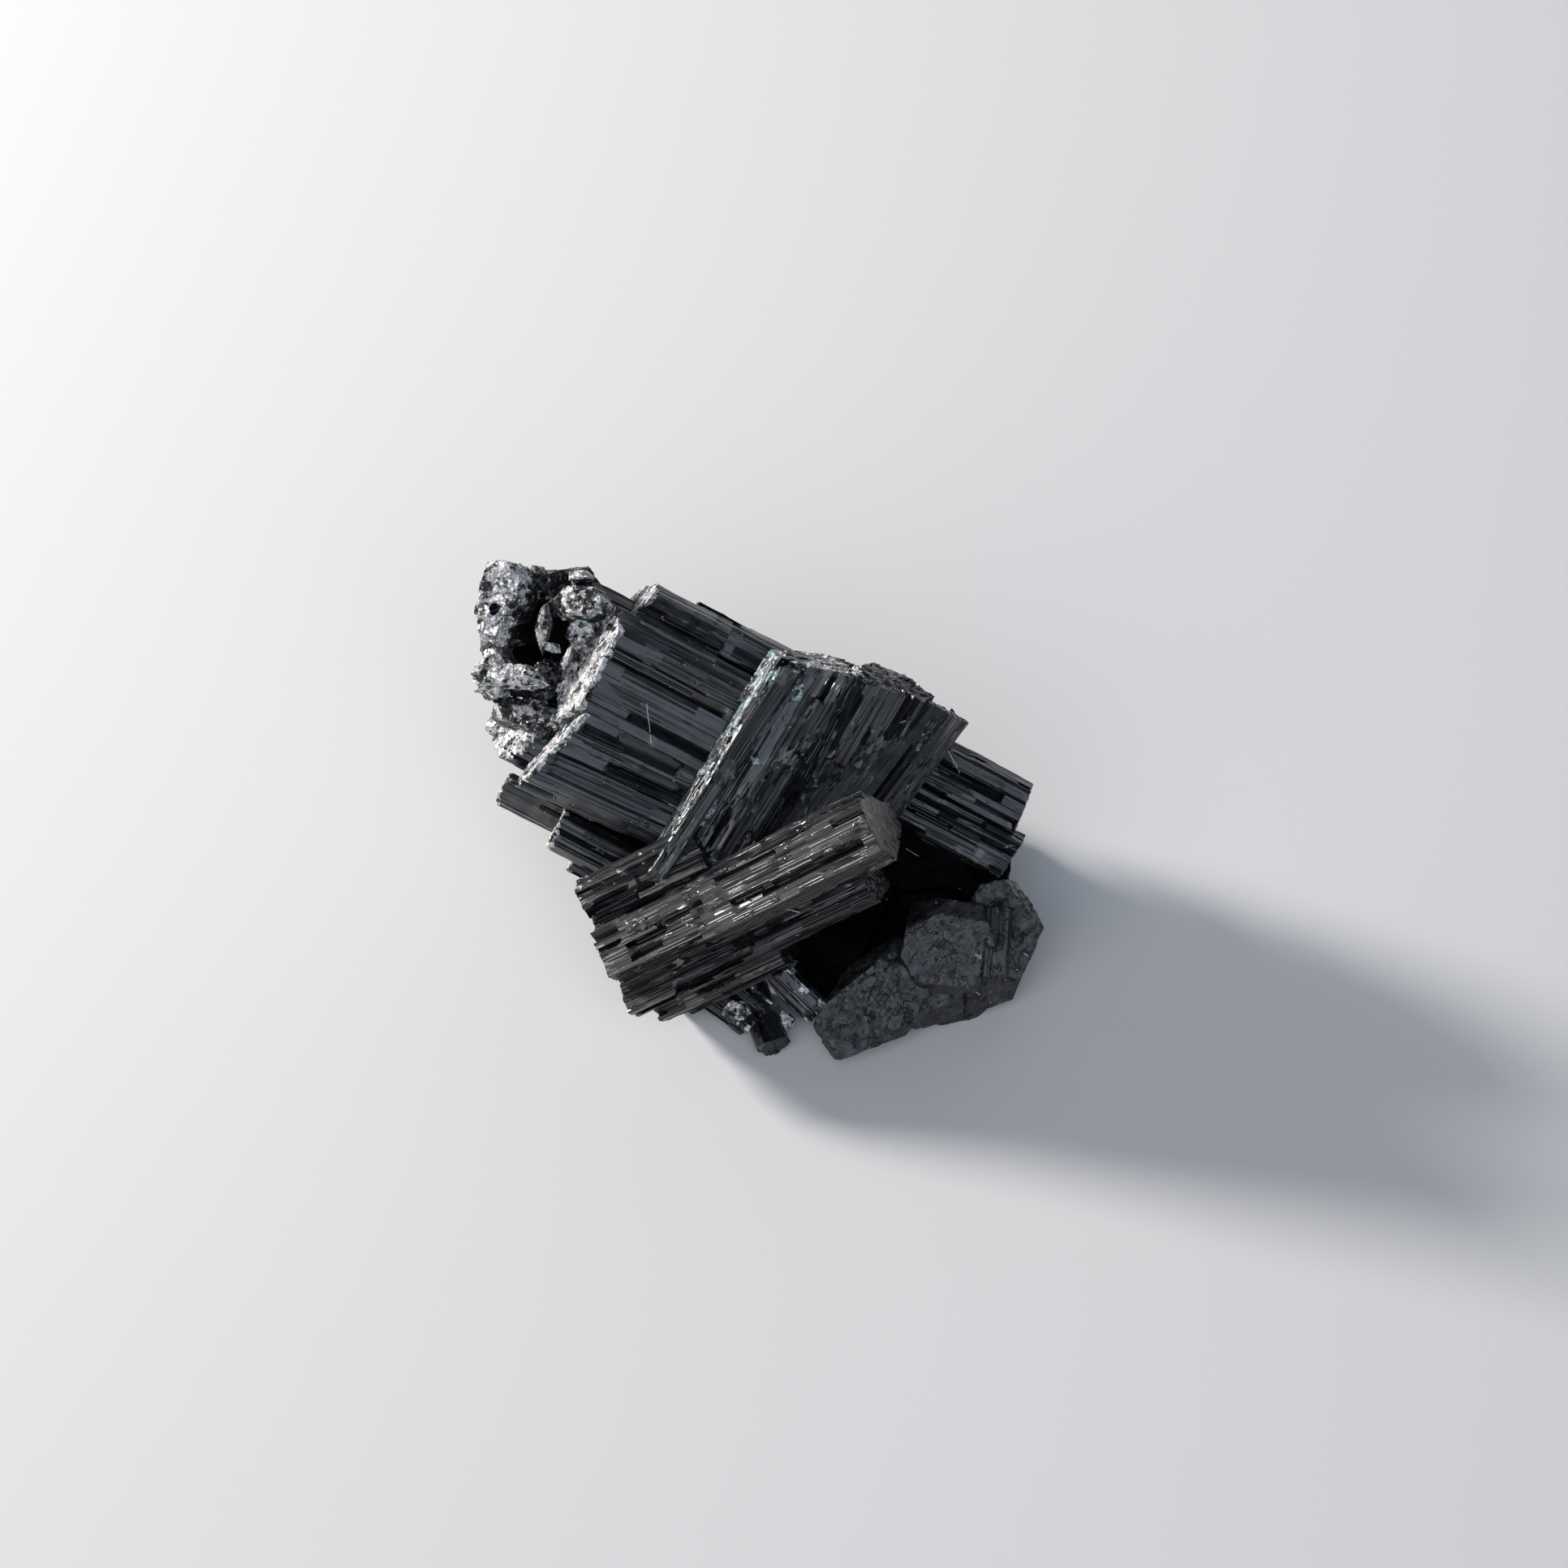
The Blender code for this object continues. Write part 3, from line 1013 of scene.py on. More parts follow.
        # The crust's colour is painted glitter: pale grains, aqua on the sides and a few tinted on the ends,
        # standing for light glinting off fine facets.
        spark = w.out("ShaderNodeCombineColor", {
            0: w.choose(end, w.ramp(hue, *self.SIDE_HUES), hue),
            1: w.choose(end, w.ramp(vivid, *self.SIDE_VIVID, self.tint), w.ramp(vivid, *self.END_VIVID)),
            2: self.pale,
        }, mode="HSV")
        w.feed(inputs["Base Color"], w.blend(white, black, spark))
        return made

    def _carried(self, w: Wiring, feature: Feature, output: str = "Fac") -> Signal:
        """Reads one of the mesh's attributes."""
        return w.out("ShaderNodeAttribute", output=output, attribute_name=feature.value)

    def _side(self, w: Wiring, place: Signal) -> Signal:
        """The relief of a prism's side: strips with finer ones on them, and pitted patches.

        Args:
            w: The material's wiring.
            place: Where the point is, in millimetres.

        Returns:
            The height in millimetres.
        """
        arc, run, _ = w.parts(self._carried(w, Feature.ALONG, "Vector"))
        around = {"W": arc / self.CROWDING, "Detail": 1.0}
        crowd = w.out("ShaderNodeTexNoise", around, noise_dimensions="1D")
        arc = arc + (crowd - 0.5) * self.CROWD_REACH
        pleats = self._pleats(w, arc, run, (self.pleat, self.pleat_length), self.pleat_slope, 1.0)
        hairs = self._pleats(w, arc, run, (self.hair, self.hair_length), self.hair_slope, 2.0)
        streaky = w.ramp(w.grain_noise(place, *self.STREAKS), *self.STREAK_RAMP)
        pitted = w.ramp(w.grain_noise(place, *self.PITS), self.speckle, self.speckle + self.PIT_EDGE)
        size = tuple(self.crumb * share for share in self.FLAKE)
        flakes = w.steps(place, size, tuple(self.crumb_slope * share for share in self.FLAKE_TILT))
        return w.choose(pitted, pleats + hairs * streaky, flakes)

    def _pleats(
        self, w: Wiring, arc: Signal, run: Signal, facet: tuple, slope: float, layer: float
    ) -> Signal:
        """Flat facets side by side, each leaning its own way, with some deeper grooves.

        Args:
            w: The material's wiring.
            arc: How far round the crystal the point is.
            run: How far along it the point is.
            facet: A facet's width, and about how long it runs before it breaks off.
            slope: How far the sides of a groove lean.
            layer: A number that keeps this layer apart from the others.

        Returns:
            The height in millimetres.
        """
        width, length = facet
        steps = arc / width
        near = w.maths("FLOOR", steps)
        heights = []
        for ridge in (near, near + 1.0):
            part = numbered_length(w, run, length, w.chance(ridge, layer, 0.5), self.RIDGES_SPREAD)
            luck = w.chance(ridge, part, layer)
            heights.append(w.maths("GREATER_THAN", luck, 1 - self.groove) + luck * self.RIDGE_LUCK)
        return w.choose(steps - near, *heights) * (-slope * width)

    def _bent(self, w: Wiring, place: Signal, scale: float, detail: float, reach: float) -> Signal:
        """A place moved about by noise, by up to half the reach each way."""
        return place + (w.noise(place, scale, detail, "Color") - MIDDLE) * reach

    def _cracks(self, w: Wiring, place: Signal) -> Signal:
        """Fine cracks that wander over the surface.

        Args:
            w: The material's wiring.
            place: Where the point is, in millimetres.

        Returns:
            The height in millimetres.
        """
        bent = self._bent(w, place, *self.CRACK_BEND)
        lines = w.voronoi(bent, 1 / self.crack, "Distance", "DISTANCE_TO_EDGE")
        where = w.ramp(w.grain_noise(place, *self.CRACKED), *self.CRACKED_RAMP)
        return w.ramp(lines, *self.CRACK_RAMP) * where * self.crack_depth

    def _gouges(self, w: Wiring, place: Signal) -> Signal:
        """Short sharp gouges that run slantwise over a fracture face.

        Args:
            w: The material's wiring.
            place: Where the point is, in millimetres.

        Returns:
            Where they lie, from 0 to 1.
        """
        x, y, z = w.parts(place)
        slanted = w.join(x + y * self.GOUGE_SLANT, y - x * self.GOUGE_SLANT, z) * self.GOUGE_STRETCH
        noise = w.noise(slanted, 1.0, self.GOUGE_DETAIL, Roughness=self.GOUGE_ROUGHNESS)
        return w.ramp(noise, *self.GOUGE_RAMP)

    def _crust(self, w: Wiring, place: Signal, crust: Signal, end: Signal) -> tuple:
        """The granular crust, whose pale grains are painted glitter.

        Args:
            w: The material's wiring.
            place: Where the point is, in millimetres.
            crust: How much crust there is.
            end: 1 on a broken end and 0 on a side, where the grains are long.

        Returns:
            Where the crust lies, how white each of its grains is as painted glitter, and two random numbers
            of the grain.
        """
        patch = w.grain_noise(place, *self.CRUST_PATCH)
        lies = w.ramp(crust + (patch - 0.5) * self.CRUST_REACH, *self.CRUST_RAMP)
        stretch = w.join(1.0, 1.0, w.ramp(end, *self.LONG_GRAINS))
        bent = self._bent(w, place, *self.CRUST_BEND) * stretch
        hue, vivid, value = w.parts(w.voronoi(bent, 1 / self.grain))
        seams = w.voronoi(bent, 1 / self.grain, "Distance", "DISTANCE_TO_EDGE")
        shade = w.ramp(value, *self.DARK_GRAINS) * w.ramp(seams, *self.SEAM_RAMP)
        # Patches where the painted glitter goes dark.
        gloom = w.ramp(w.grain_noise(place, *self.GLOOM), *self.GLOOM_RAMP)
        return lies, shade * gloom * lies, hue, vivid


@dataclass(frozen=True)
class DustFinish:
    """Pale lint: soft and matt, a little darker here and there."""

    name: str
    pale: tuple = (0.82, 0.82, 0.80)
    grey: tuple = (0.50, 0.50, 0.50)
    roughness: float = 0.85
    sheen: float = 0.3
    patches: float = 700.0

    def material(self) -> bpy.types.Material:
        """Builds the material."""
        made, w, inputs = new_material(self.name)
        w.feed(inputs["Roughness"], self.roughness)
        w.feed(inputs["Sheen Weight"], self.sheen)
        patch = w.noise(w.out("ShaderNodeTexCoord", output="Object"), self.patches, 2.0)
        w.feed(inputs["Base Color"], w.blend(patch, (*self.pale, 1.0), (*self.grey, 1.0)))
        return made


class DustGrains(Mould):
    """The geometry tree that makes specks of loose points and fibres of joined ones."""

    LEAST = (0.5, 0.5, 0.3)
    MOST = (1.7, 1.3, 0.8)
    SEED = 4

    def __init__(self) -> None:
        """Builds the tree."""
        super().__init__("dust", {"Geometry": ("geometry",), "Float": ("speck_size", "fibre_radius")})

    def _grow(self) -> Signal:
        """Lays the nodes that set a grain on each loose point and a tube round each path.

        Returns:
            The mesh, before its material.
        """
        w, given = self.wiring, self.given
        path = w.out("GeometryNodeMeshToCurve", {"Mesh": given.geometry})
        ring = w.out("GeometryNodeCurvePrimitiveCircle", {"Resolution": 6, "Radius": given.fibre_radius})
        tube = {"Curve": path, "Profile Curve": ring, "Fill Caps": True}
        fibres = w.out("GeometryNodeCurveToMesh", tube)
        joined = w.out("GeometryNodeInputMeshVertexNeighbors", output="Vertex Count")
        chance = {"Min": self.LEAST, "Max": self.MOST, "Seed": self.SEED}
        specks = w.out("GeometryNodeInstanceOnPoints", {
            "Points": given.geometry,
            "Selection": w.maths("LESS_THAN", joined, 0.5),
            "Instance": w.out("GeometryNodeMeshIcoSphere", {"Radius": given.speck_size, "Subdivisions": 1}),
            "Scale": w.out("FunctionNodeRandomValue", chance, "Value", data_type="FLOAT_VECTOR"),
        })
        both = w.add("GeometryNodeJoinGeometry")
        for made in (specks, fibres):
            w.feed(both.inputs[0], made)
        return Signal(w, both.outputs[0])


@dataclass
class Dust:
    """White specks and lint fibres that lie on the crystals.

    Places are on the display face, in millimetres: each fibre runs from one u and v to another, and the
    reach gives the left, right, lower and upper limits of the specks.
    """

    name: str = "dust_and_lint"
    specks: int = 60
    speck_size: float = 0.075
    fibre_radius: float = 0.04
    fibre_steps: int = 8
    lift: float = 0.03
    drop_from: float = 40.0
    seed: int = 7
    reach: tuple = (-24.0, 27.0, -20.0, 20.0)
    fibres: tuple = (
        (20.4, 4.2, 19.2, 6.4),
        (15.2, -3.4, 16.5, -4.2),
        (-10.6, 11.0, -10.1, 6.7),
        (19.8, 9.9, 19.2, 10.9),
        (14.2, 9.1, 14.8, 9.3),
        (22.0, -17.6, 22.4, -17.9),
        (26.6, -13.6, 27.0, -13.9),
        (3.2, -9.0, 4.4, -9.3),
    )

    def _landed(self, grounds: list, u: float, v: float) -> Vector | None:
        """Where a line straight into the display face first meets a piece.

        Args:
            grounds: The pieces' search trees.
            u: How far right on the display face the line starts.
            v: How far up it starts.

        Returns:
            A place just above the piece, or None if the line meets nothing.
        """
        place = face_to_world()
        down = (place.to_3x3() @ Vector((0, 0, -1))).normalized()
        start = place @ Vector((u, v, self.drop_from))
        found = [ground.ray_cast(start, down) for ground in grounds]
        found = [(hit[3], hit[0]) for hit in found if hit[0] is not None]
        return min(found)[1] - down * self.lift * MM if found else None

    def build(self, carriers: list, finish: bpy.types.Material) -> bpy.types.Mesh:
        """Lays the dust on the finished pieces.

        Args:
            carriers: The pieces that carry it.
            finish: Its material.

        Returns:
            The dust's mesh.
        """
        grounds = [BVHTree.FromObject(piece, bpy.context.evaluated_depsgraph_get()) for piece in carriers]
        chance = random.Random(self.seed)
        points, edges = [], []
        for u0, v0, u1, v1 in self.fibres:
            spots = []
            for k in range(self.fibre_steps + 1):
                u = u0 + (u1 - u0) * k / self.fibre_steps
                spots.append(self._landed(grounds, u, v0 + (v1 - v0) * k / self.fibre_steps))
            spots = [spot for spot in spots if spot is not None]
            edges += [(len(points) + k, len(points) + k + 1) for k in range(len(spots) - 1)]
            points += spots
        left, right, low, high = self.reach
        for _ in range(self.specks):
            spot = self._landed(grounds, chance.uniform(left, right), chance.uniform(low, high))
            if spot is not None:
                points.append(spot)
        mesh = bpy.data.meshes.new(self.name)
        mesh.from_pydata(points, edges, [])
        sizes = {"speck_size": self.speck_size * MM, "fibre_radius": self.fibre_radius * MM}
        return DustGrains().shape(self.name, mesh, finish=finish, **sizes)


@dataclass(frozen=True)
class Glow:
    """A soft bright patch of the room: which way it lies, how wide it is, its colour and its brightness."""

    way: tuple
    inner_deg: float
    outer_deg: float
    colour: tuple
    strength: float


@dataclass
class Studio:
    """A plain pale table under soft light, and the camera that faces the display face."""

    camera_distance: float = 420.0
    camera_aim: tuple = (2.88, 3.12)
    camera_width: float = 154.56
    clip_start: float = 0.01
    key_from: tuple = (-0.859, 0.364, 0.372)
    key_distance: float = 0.80
    key_size: float = 0.15
    key_power: float = 9.2
    key_colour: tuple = (1.0, 0.95, 0.915)
    floor_half: float = 2.5
    floor_colour: tuple = (0.805, 0.80, 0.795, 1)
    floor_roughness: float = 0.8
    ambient: tuple = (0.060, 0.066, 0.072)
    seen: tuple = (0.70, 0.70, 0.69)
    glows: tuple = (
        Glow((0.0, -0.643, 0.766), 20.0, 33.0, (0.80, 0.93, 1.16), 1.05),
        Glow((-0.55, -0.70, 0.42), 12.0, 28.0, (1.0, 0.96, 0.91), 1.60),
        Glow((0.50, -0.80, 0.32), 12.0, 28.0, (0.92, 0.96, 1.04), 0.55),
        Glow((-0.82, 0.50, 0.14), 9.0, 26.0, (0.55, 0.95, 1.05), 1.10),
        Glow((-0.30, 0.30, 0.90), 6.0, 24.0, (1.0, 0.96, 0.92), 0.25),
        Glow((0.30, 0.85, 0.42), 12.0, 34.0, (0.92, 0.97, 1.08), 0.40),
    )

    def build(self) -> None:
        """Builds the floor, the lights, the room and the camera."""
        self._floor()
        self._key()
        self._room()
        self._camera()

    def _camera(self) -> None:
        """Faces the display face squarely."""
        lens = bpy.data.cameras.new("camera")
        lens.angle = 2 * math.atan(self.camera_width / 2 / self.camera_distance)
        lens.clip_start = self.clip_start
        made = new_object("camera", lens)
        eye = Vector((*self.camera_aim, self.camera_distance))
        made.matrix_world = (face_to_world() @ Matrix.Translation(eye)).normalized()
        made.matrix_world.translation = face_to_world() @ eye
        bpy.context.scene.camera = made

    def _key(self) -> None:
        """A soft key light, low on the left and a little behind."""
        light = bpy.data.lights.new("key", "AREA")
        light.shape = "DISK"
        light.size = self.key_size
        light.energy = self.key_power
        light.color = self.key_colour
        made = new_object("key", light)
        away = Vector(self.key_from).normalized()
        made.location = away * self.key_distance
        made.rotation_euler = (-away).to_track_quat("-Z", "Y").to_euler()

    def _floor(self) -> None:
        """A plain pale table top."""
        sheet = bmesh.new()
        bmesh.ops.create_grid(sheet, x_segments=1, y_segments=1, size=self.floor_half)
        made = new_object("table_top", mesh_from(sheet, "table_top"))
        paper, w, inputs = new_material("pale_table")
        w.feed(inputs["Base Color"], self.floor_colour)
        w.feed(inputs["Roughness"], self.floor_roughness)
        made.data.materials.append(paper)

    def _room(self) -> None:
        """The room that the crystals mirror: dim, with soft bright patches."""
        world = bpy.data.worlds.new("room")
        bpy.context.scene.world = world
        world.use_nodes = True
        w = Wiring(world.node_tree)
        way = w.way(w.out("ShaderNodeTexCoord", output="Generated"))
        light = w.join(*self.ambient)
        for glow in self.glows:
            facing = w.dot(way, tuple(Vector(glow.way).normalized()))
            edge = math.cos(math.radians(glow.outer_deg))
            core = math.cos(math.radians(glow.inner_deg))
            spread = w.ramp(facing, edge, core, 0.0, glow.strength, interpolation_type="SMOOTHSTEP")
            light = light + glow.colour * spread
        seen = w.out("ShaderNodeLightPath", output="Is Camera Ray")
        colour = w.out("ShaderNodeMix", {0: seen, 4: light, 5: self.seen}, 1, data_type="VECTOR")
        w.feed(world.node_tree.nodes["Background"].inputs["Color"], colour)


LEFT = Bundle("left_bundle", crystals=(
    Crystal("a_main", (-17.1, 15.5, -2), (6.2, 3.3, -5), 13.4, 13, 32, foot_slant=(0.0, 0.26),
                foot_crust=1.0),
    Crystal("a_lower", (-20.0, 7.7, -1.6), (-5.4, 1.0, -2.8), 12.0, 11, 32, foot_slant=(0.3, 0.12),
                foot_crust=1.1,
            trigonal=0.16),
    Crystal("a_top", (-11.6, 21.8, -6), (-3.1, 17.4, -7), 4.9, 10, 40, foot_slant=(0.2, 0.1),
                foot_crust=0.7),
    Crystal("a_top_back", (-7.2, 19.3, -9), (14.6, 8.0, -12), 5.8, 10, 30),
    Crystal("a_left_top", (-19.3, 22.5, -9), (-8.5, 17.0, -10), 5.6, 10, 50, rough=0.8, foot_crust=0.8),
    Crystal("a_seven", (-24.6, 9.4, -7), (-11.7, 2.7, -8), 8.4, 10, 25, foot_slant=(0.1, 0.5), rough=1.0,
                foot_crust=1.0),
    Crystal("a_small_left", (-25.6, 3.0, -9), (-12.5, -3.7, -9), 4.2, 7, 41, rough=0.8, foot_crust=0.6),
    Crystal("a_small_mid", (-20.2, -1.2, -5), (-7.8, -7.8, -6), 4.7, 7, 30, rough=0.8, foot_crust=0.9),
    Crystal("a_small_low", (-18.6, -4.4, -8), (-8.9, -9.6, -9), 2.8, 6, 30, foot_crust=0.5),
))
RIGHT = Bundle("right_bundle", crystals=(
    Crystal("r_upper", (8.7, 10.2, -6), (27.0, 0.5, -8), 6.6, 10, 34, tip_slant=(-0.1, -0.1), relief=0.5,
                run=8.0),
    Crystal("r_lower", (6.2, 5.9, -7), (25.9, -4.4, -9), 6.0, 11, 36, tip_slant=(0.1, -0.1), relief=0.55,
                run=7.0),
))
STANDING = Bundle("standing_crystals", crystals=(
    Crystal("m_left", (-6.9, -6.9, -0.8), (6.7, 15.3, 1.2), 10.8, 13, 30, tip_slant=(-0.3, -0.08),
                relief=0.7, run=8.0,
            tip_crust=0.6, side_crust=0.5),
    Crystal("m_ridge", (-9.7, -5.9, 5.2), (3.8, 14.6, 6.9), 1.9, 4.6, 36, tip_slant=(-0.3, -0.15),
                relief=0.1,
            trigonal=0.3, tip_crust=0.3),
    Crystal("m_second_ridge", (-3.4, -4.2, 4.4), (6.4, 11.4, 6.2), 2.0, 3.6, 18, relief=0.25, trigonal=0.3),
    Crystal("m_filling", (2.2, -1.0, -1.6), (9.8, 14.2, -0.4), 6.4, 12, 25, tip_slant=(-0.2, -0.1),
                relief=0.6, run=8.0,
            tip_crust=0.1),
    Crystal("m_middle", (7.4, 3.0, -1.5), (13.6, 13.6, 0.2), 9.6, 12, 45, tip_slant=(-0.15, -0.1),
                relief=0.5, run=8.0,
            rough=0.8, tip_crust=0.1),
    Crystal("m_behind", (-0.6, -9.4, -6.5), (9.2, 6.2, -5.5), 9.0, 9, 0, relief=0.5),
    Crystal("m_right", (3.3, -6.4, 1.4), (17.2, 11.8, -3.4), 11.0, 13, 20, tip_slant=(-0.15, -0.25),
                rough=0.8,
            tip_crust=0.1),
))
FRONT = Bundle("front_bundle", crystals=(
    Crystal("f_front", (-4.8, -9.2, 4), (12.3, -0.6, 11), 8.0, 10, 30, rough=0.05, strip=0.9, relief=0.45,
                run=6.0),
    Crystal("f_upper", (-16.3, -8.7, 0), (-4.4, -2.9, 3), 5.8, 9, 30, run=6.0, relief=0.6, side_crust=0.34),
    Crystal("f_middle", (-14.2, -13.5, 0), (10.4, -1.5, 8), 7.6, 11, 25, strip=0.85, relief=0.5, run=6.0,
                side_crust=0.18),
    Crystal("f_lower", (-12.0, -17.9, -1), (12.0, -6.2, 6), 4.6, 11, 20, run=6.0),
    Crystal("f_bottom", (-9.2, -19.1, -4), (3.6, -13.0, 0), 3.2, 9, 30, run=6.0),
    Crystal("f_foot", (-6.2, -18.8, -6), (2.6, -14.6, -2), 2.4, 8, 30, run=6.0),
    Crystal("s_smooth", (-7.4, -16.1, -6.4), (-0.6, -20.9, -4.6), 3.2, 3.2, 30, rough=0.1),
    Crystal("s_dark", (-1.0, -16.0, -7), (1.9, -23.2, -2.2), 4.2, 4.2, 15),
    Crystal("s_slivers", (0.2, -13.8, -5.0), (6.7, -20.0, -4.4), 3.6, 4.8, 31, rough=1.2, relief=0.6,
                run=3.0,
            tip_crust=0.9, side_crust=0.6),
    Crystal("s_sliver_low", (-2.6, -16.0, -5.0), (3.9, -21.3, -4.4), 2.4, 4.2, 29, rough=1.2, relief=0.6,
                run=2.5,
            tip_crust=0.9, side_crust=0.6),
    Crystal("s_white", (-3.4, -18.6, -7), (0.0, -21.2, -2.8), 2.2, 2.4, 10, tip_crust=1.0),
), blocks=(
    Block("s_chip", (-1.5, -19.8, -4.2), (1.6, 1.2, 1.8), (-25, -30, 20), crust=1.8, grit=0.1, detail=4),
))
BASE = Bundle("base_crystals", crystals=(
    Crystal("b_rib", (23.5, -16.4, -2.2), (24.0, -8.8, -2.6), 3.6, 8.0, 30, rough=1.0, strip=0.5,
                relief=0.3, run=4.0),
    Crystal("b_under", (16.0, -11.0, -18), (21.8, -17.0, -4.6), 14.0, 7.0, 30, rough=0.4, relief=0.15,
                worn=0.3),
), blocks=(
    Block("b_middle", (18.9, -12.9, -2.6), (4.7, 4.4, 6.4), (8, -7, 12), worn=0.3, grit=0.16, front=0.48),
    Block("b_right", (24.3, -11.2, -4.8), (3.6, 5.1, 6.2), (0, 8, 6), worn=0.3, grit=0.16, front=0.50),
    Block("b_left", (11.7, -18.6, -3.6), (6.4, 4.4, 6.0), (5, -3, 28), worn=0.3, grit=0.16, front=0.50),
    Block("b_join", (16.6, -16.6, -5.6), (4.4, 4.2, 6.0), (10, 0, 40), worn=0.3, grit=0.12),
    Block("b_low", (20.6, -16.2, -8.0), (7.2, 4.0, 6.0), (33, -12, 28), worn=0.3, grit=0.16),
))
CORE = Bundle("cluster_core", crystals=(
    Crystal("a_vug", (-24.4, 18.6, -13), (-12.0, 12.4, -13), 10.5, 9, 30, rough=1.2),
    Crystal("k_left", (-19.4, 12.8, -13), (5.4, -0.2, -13), 21.0, 12, 0, coarse=2.0),
    Crystal("k_right", (-6.0, 6.0, -15), (19.0, -6.0, -18), 16.0, 14, 0, coarse=2.0),
    Crystal("k_back", (-16.0, 14.5, -19), (10.0, 1.0, -21), 13.0, 12, 30, coarse=1.6),
    Crystal("k_base", (-12.0, -2.0, -14), (12.0, -13.0, -11), 12.0, 14, 0, coarse=1.6),
), blocks=(
    Block("k_hollow", (17.4, -5.4, -14.5), (8.8, 6.2, 6.0), (0, 0, -22), detail=5),
    Block("k_deep", (14.6, -12.4, -14.0), (9.0, 6.8, 6.4), (0, 0, 30), detail=5),
    Block("k_side", (-14.6, -1.0, -9.4), (6.4, 2.6, 4.6), (0, 0, -27), detail=5),
    Block("k_slip", (7.6, -17.4, -10.4), (4.2, 3.6, 5.4), (0, 0, -30), detail=5),
))
ROUGH = Bundle("rough_end", blocks=(
    Block("l_slab", (-24.8, 22.0, -3.2), (2.6, 3.7, 3.6), (0, -24, -20), crust=1.0, grit=0.3),
    Block("l_slab_foot", (-25.5, 19.0, -3.6), (1.8, 2.4, 3.4), (0, -24, 0), crust=1.0, grit=0.3),
    Block("l_neck", (-24.6, 16.6, -12.0), (3.2, 3.2, 3.4), (0, 26, 10)),
    Block("l_outer", (-25.8, 13.8, -5.8), (2.2, 2.4, 3.4), (-15, -14, -20), crust=1.0, grit=0.2),
    Block("l_ledge", (-24.0, 13.6, -3.8), (3.3, 1.4, 3.4), (-20, -20, 6), crust=1.5, grit=0.3),
    Block("l_dark", (-21.0, 13.0, -7.6), (2.8, 2.2, 3.4), (0, 10, 30), crust=0.05, grit=0.3, detail=5),
    Block("l_lower", (-21.8, 9.2, -5.8), (4.6, 1.9, 3.6), (-18, -22, -16), crust=0.5, grit=0.3),
    Block("l_small", (-20.9, 18.8, -2.8), (0.75, 2.7, 3.8), (0, 0, -8), crust=0.9, grit=0.2, detail=5),
    Block("l_bend", (-19.7, 20.9, -3.0), (1.1, 0.9, 3.6), (0, 20, 30), crust=0.3, grit=0.2, detail=5),
    Block("l_arc", (-17.0, 20.9, -2.2), (3.1, 1.8, 3.6), (-18, -16, 4), crust=0.65, grit=0.3),
    Block("l_rim", (-16.9, 18.2, -3.4), (1.6, 2.2, 3.6), (0, -10, -30), crust=0.7, grit=0.3, detail=5),
    Block("l_fleck", (-20.2, 16.7, -3.6), (1.3, 0.6, 2.4), (0, 0, -20), crust=1.0, grit=0.2, detail=5),
    Block("l_top", (-19.0, 22.8, -9.0), (4.2, 2.2, 3.8), (0, 26, -6)),
    Block("l_knob", (-21.6, 23.6, -4.6), (0.9, 1.4, 3.0), (0, 20, -20), crust=0.35, grit=0.3, detail=5),
    Block("l_crest", (-17.4, 23.9, -5.2), (1.3, 0.7, 2.6), (0, 0, -10), crust=0.7, grit=0.3, detail=5),
), pits=(((-25.6, 20.3, -1.4), 0.85),))
PRISMS = SchorlFinish("schorl_prisms")
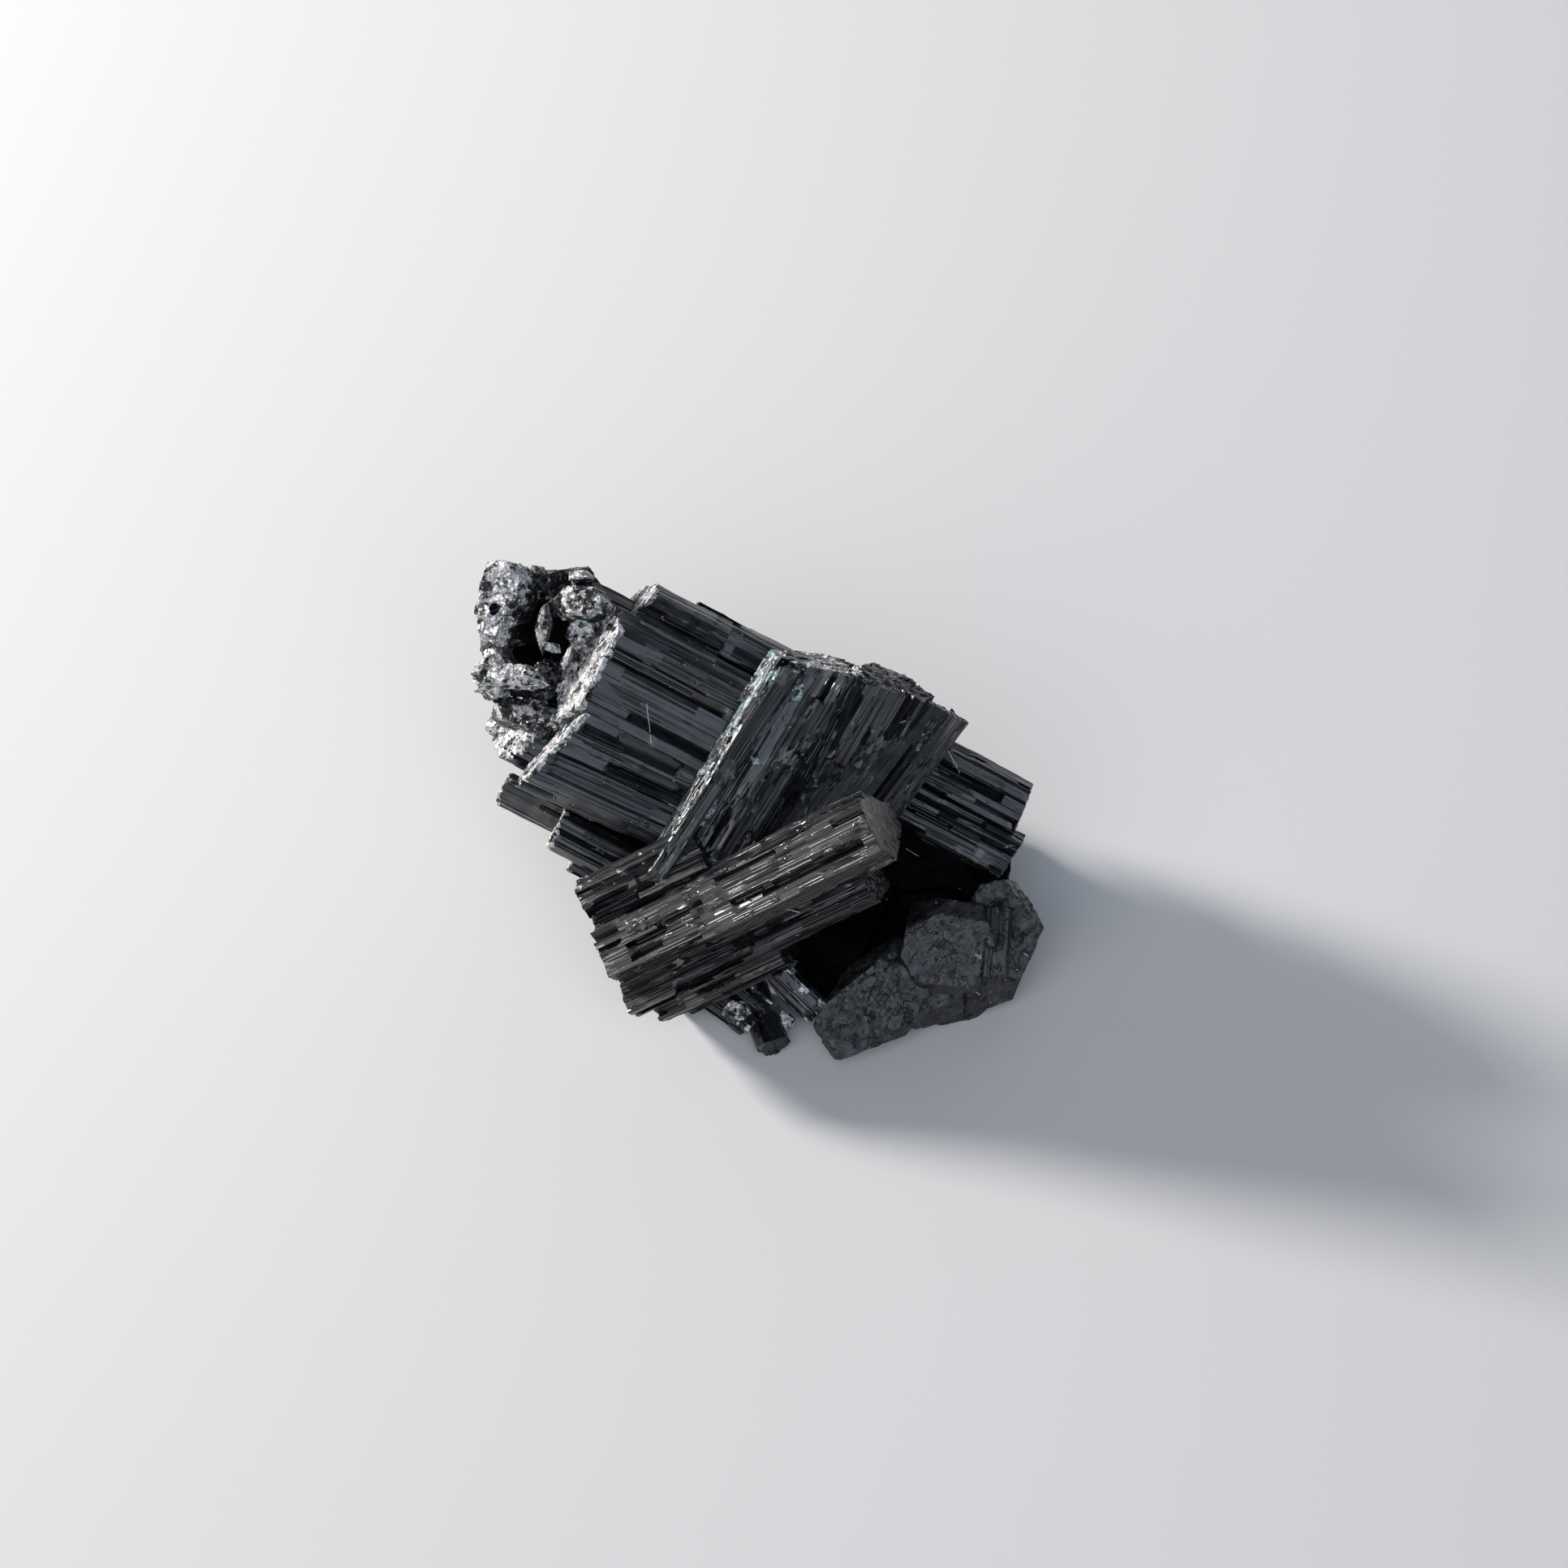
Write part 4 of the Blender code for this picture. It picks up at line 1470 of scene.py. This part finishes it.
DRESS = {
    # The standing crystals' sides carry stronger aqua painted glints.
    "standing_crystals": SchorlFinish(
        "schorl_standing", tint=0.35, groove=0.22, pleat_slope=0.34, speckle=0.53, grain=0.26,
    ),
    "front_bundle": SchorlFinish(
        "schorl_front", pleat=0.55, pleat_length=7.0, pleat_slope=0.42, groove=0.28, hair_slope=0.12,
        speckle=0.60,
    ),
    "base_crystals": SchorlFinish(
        "schorl_fracture", base=(0.010, 0.011, 0.0125), film=(0.048, 0.051, 0.055), index=1.62, gouge=0.26,
        pleat=0.9, pleat_slope=0.12, hair=0.4, hair_slope=0.08, crumb=0.8, crumb_slope=0.20, crack_depth=0.09,
        smooth=0.34, matt=0.55,
    ),
    # The hidden core: a darker black and a very low index that all but takes away its reflections, painted
    # shade for the deep hollow.
    "cluster_core": SchorlFinish(
        "schorl_recess", base=(0.0020, 0.0022, 0.0028), film=(0.004, 0.004, 0.005), index=1.10, crumb=1.0,
        crumb_slope=0.15, speckle=2.0, smooth=0.4, matt=0.65,
    ),
}


def finish_piece(name: str, mesh: bpy.types.Mesh) -> bpy.types.Object:
    """Makes a mesh a piece of the cluster.

    Args:
        name: The piece's name.
        mesh: Its mesh, in the part's frame, with its material.

    Returns:
        The piece.
    """
    mesh.name = name
    while mesh.materials[0] is None:
        mesh.materials.pop(index=0)
    mesh.polygons.foreach_set("use_smooth", [True] * len(mesh.polygons))
    mesh.set_sharp_from_angle(angle=math.radians(SHARP_ANGLE_DEG))
    made = new_object(name, mesh)
    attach(made, BODY)
    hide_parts(NODE)
    LOG.info("%s: %d faces, %d points", name, len(mesh.polygons), len(mesh.vertices))
    return made


def main() -> None:
    """Builds the finishes, the pieces and the studio."""
    logging.basicConfig(level=logging.INFO, format="%(message)s")
    began = time.time()
    prism = StriatedPrism()
    fractured = FracturedBlock()
    schorl = PRISMS.material()
    dress = {name: finish.material() for name, finish in DRESS.items()}
    pieces = []
    for place, bundle in enumerate((LEFT, RIGHT, STANDING, FRONT, BASE, CORE, ROUGH)):
        mesh = bundle.build(prism, fractured, SEEDS_APART * place, dress.get(bundle.name, schorl))
        pieces.append(finish_piece(bundle.name, mesh))
    dust = Dust()
    finish_piece(dust.name, dust.build(pieces, DustFinish("lint").material()))
    Studio().build()
    bpy.context.scene.view_settings.view_transform = "Standard"
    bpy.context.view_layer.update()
    LOG.info("built in %.1f s", time.time() - began)


if __name__ == "__main__":
    main()
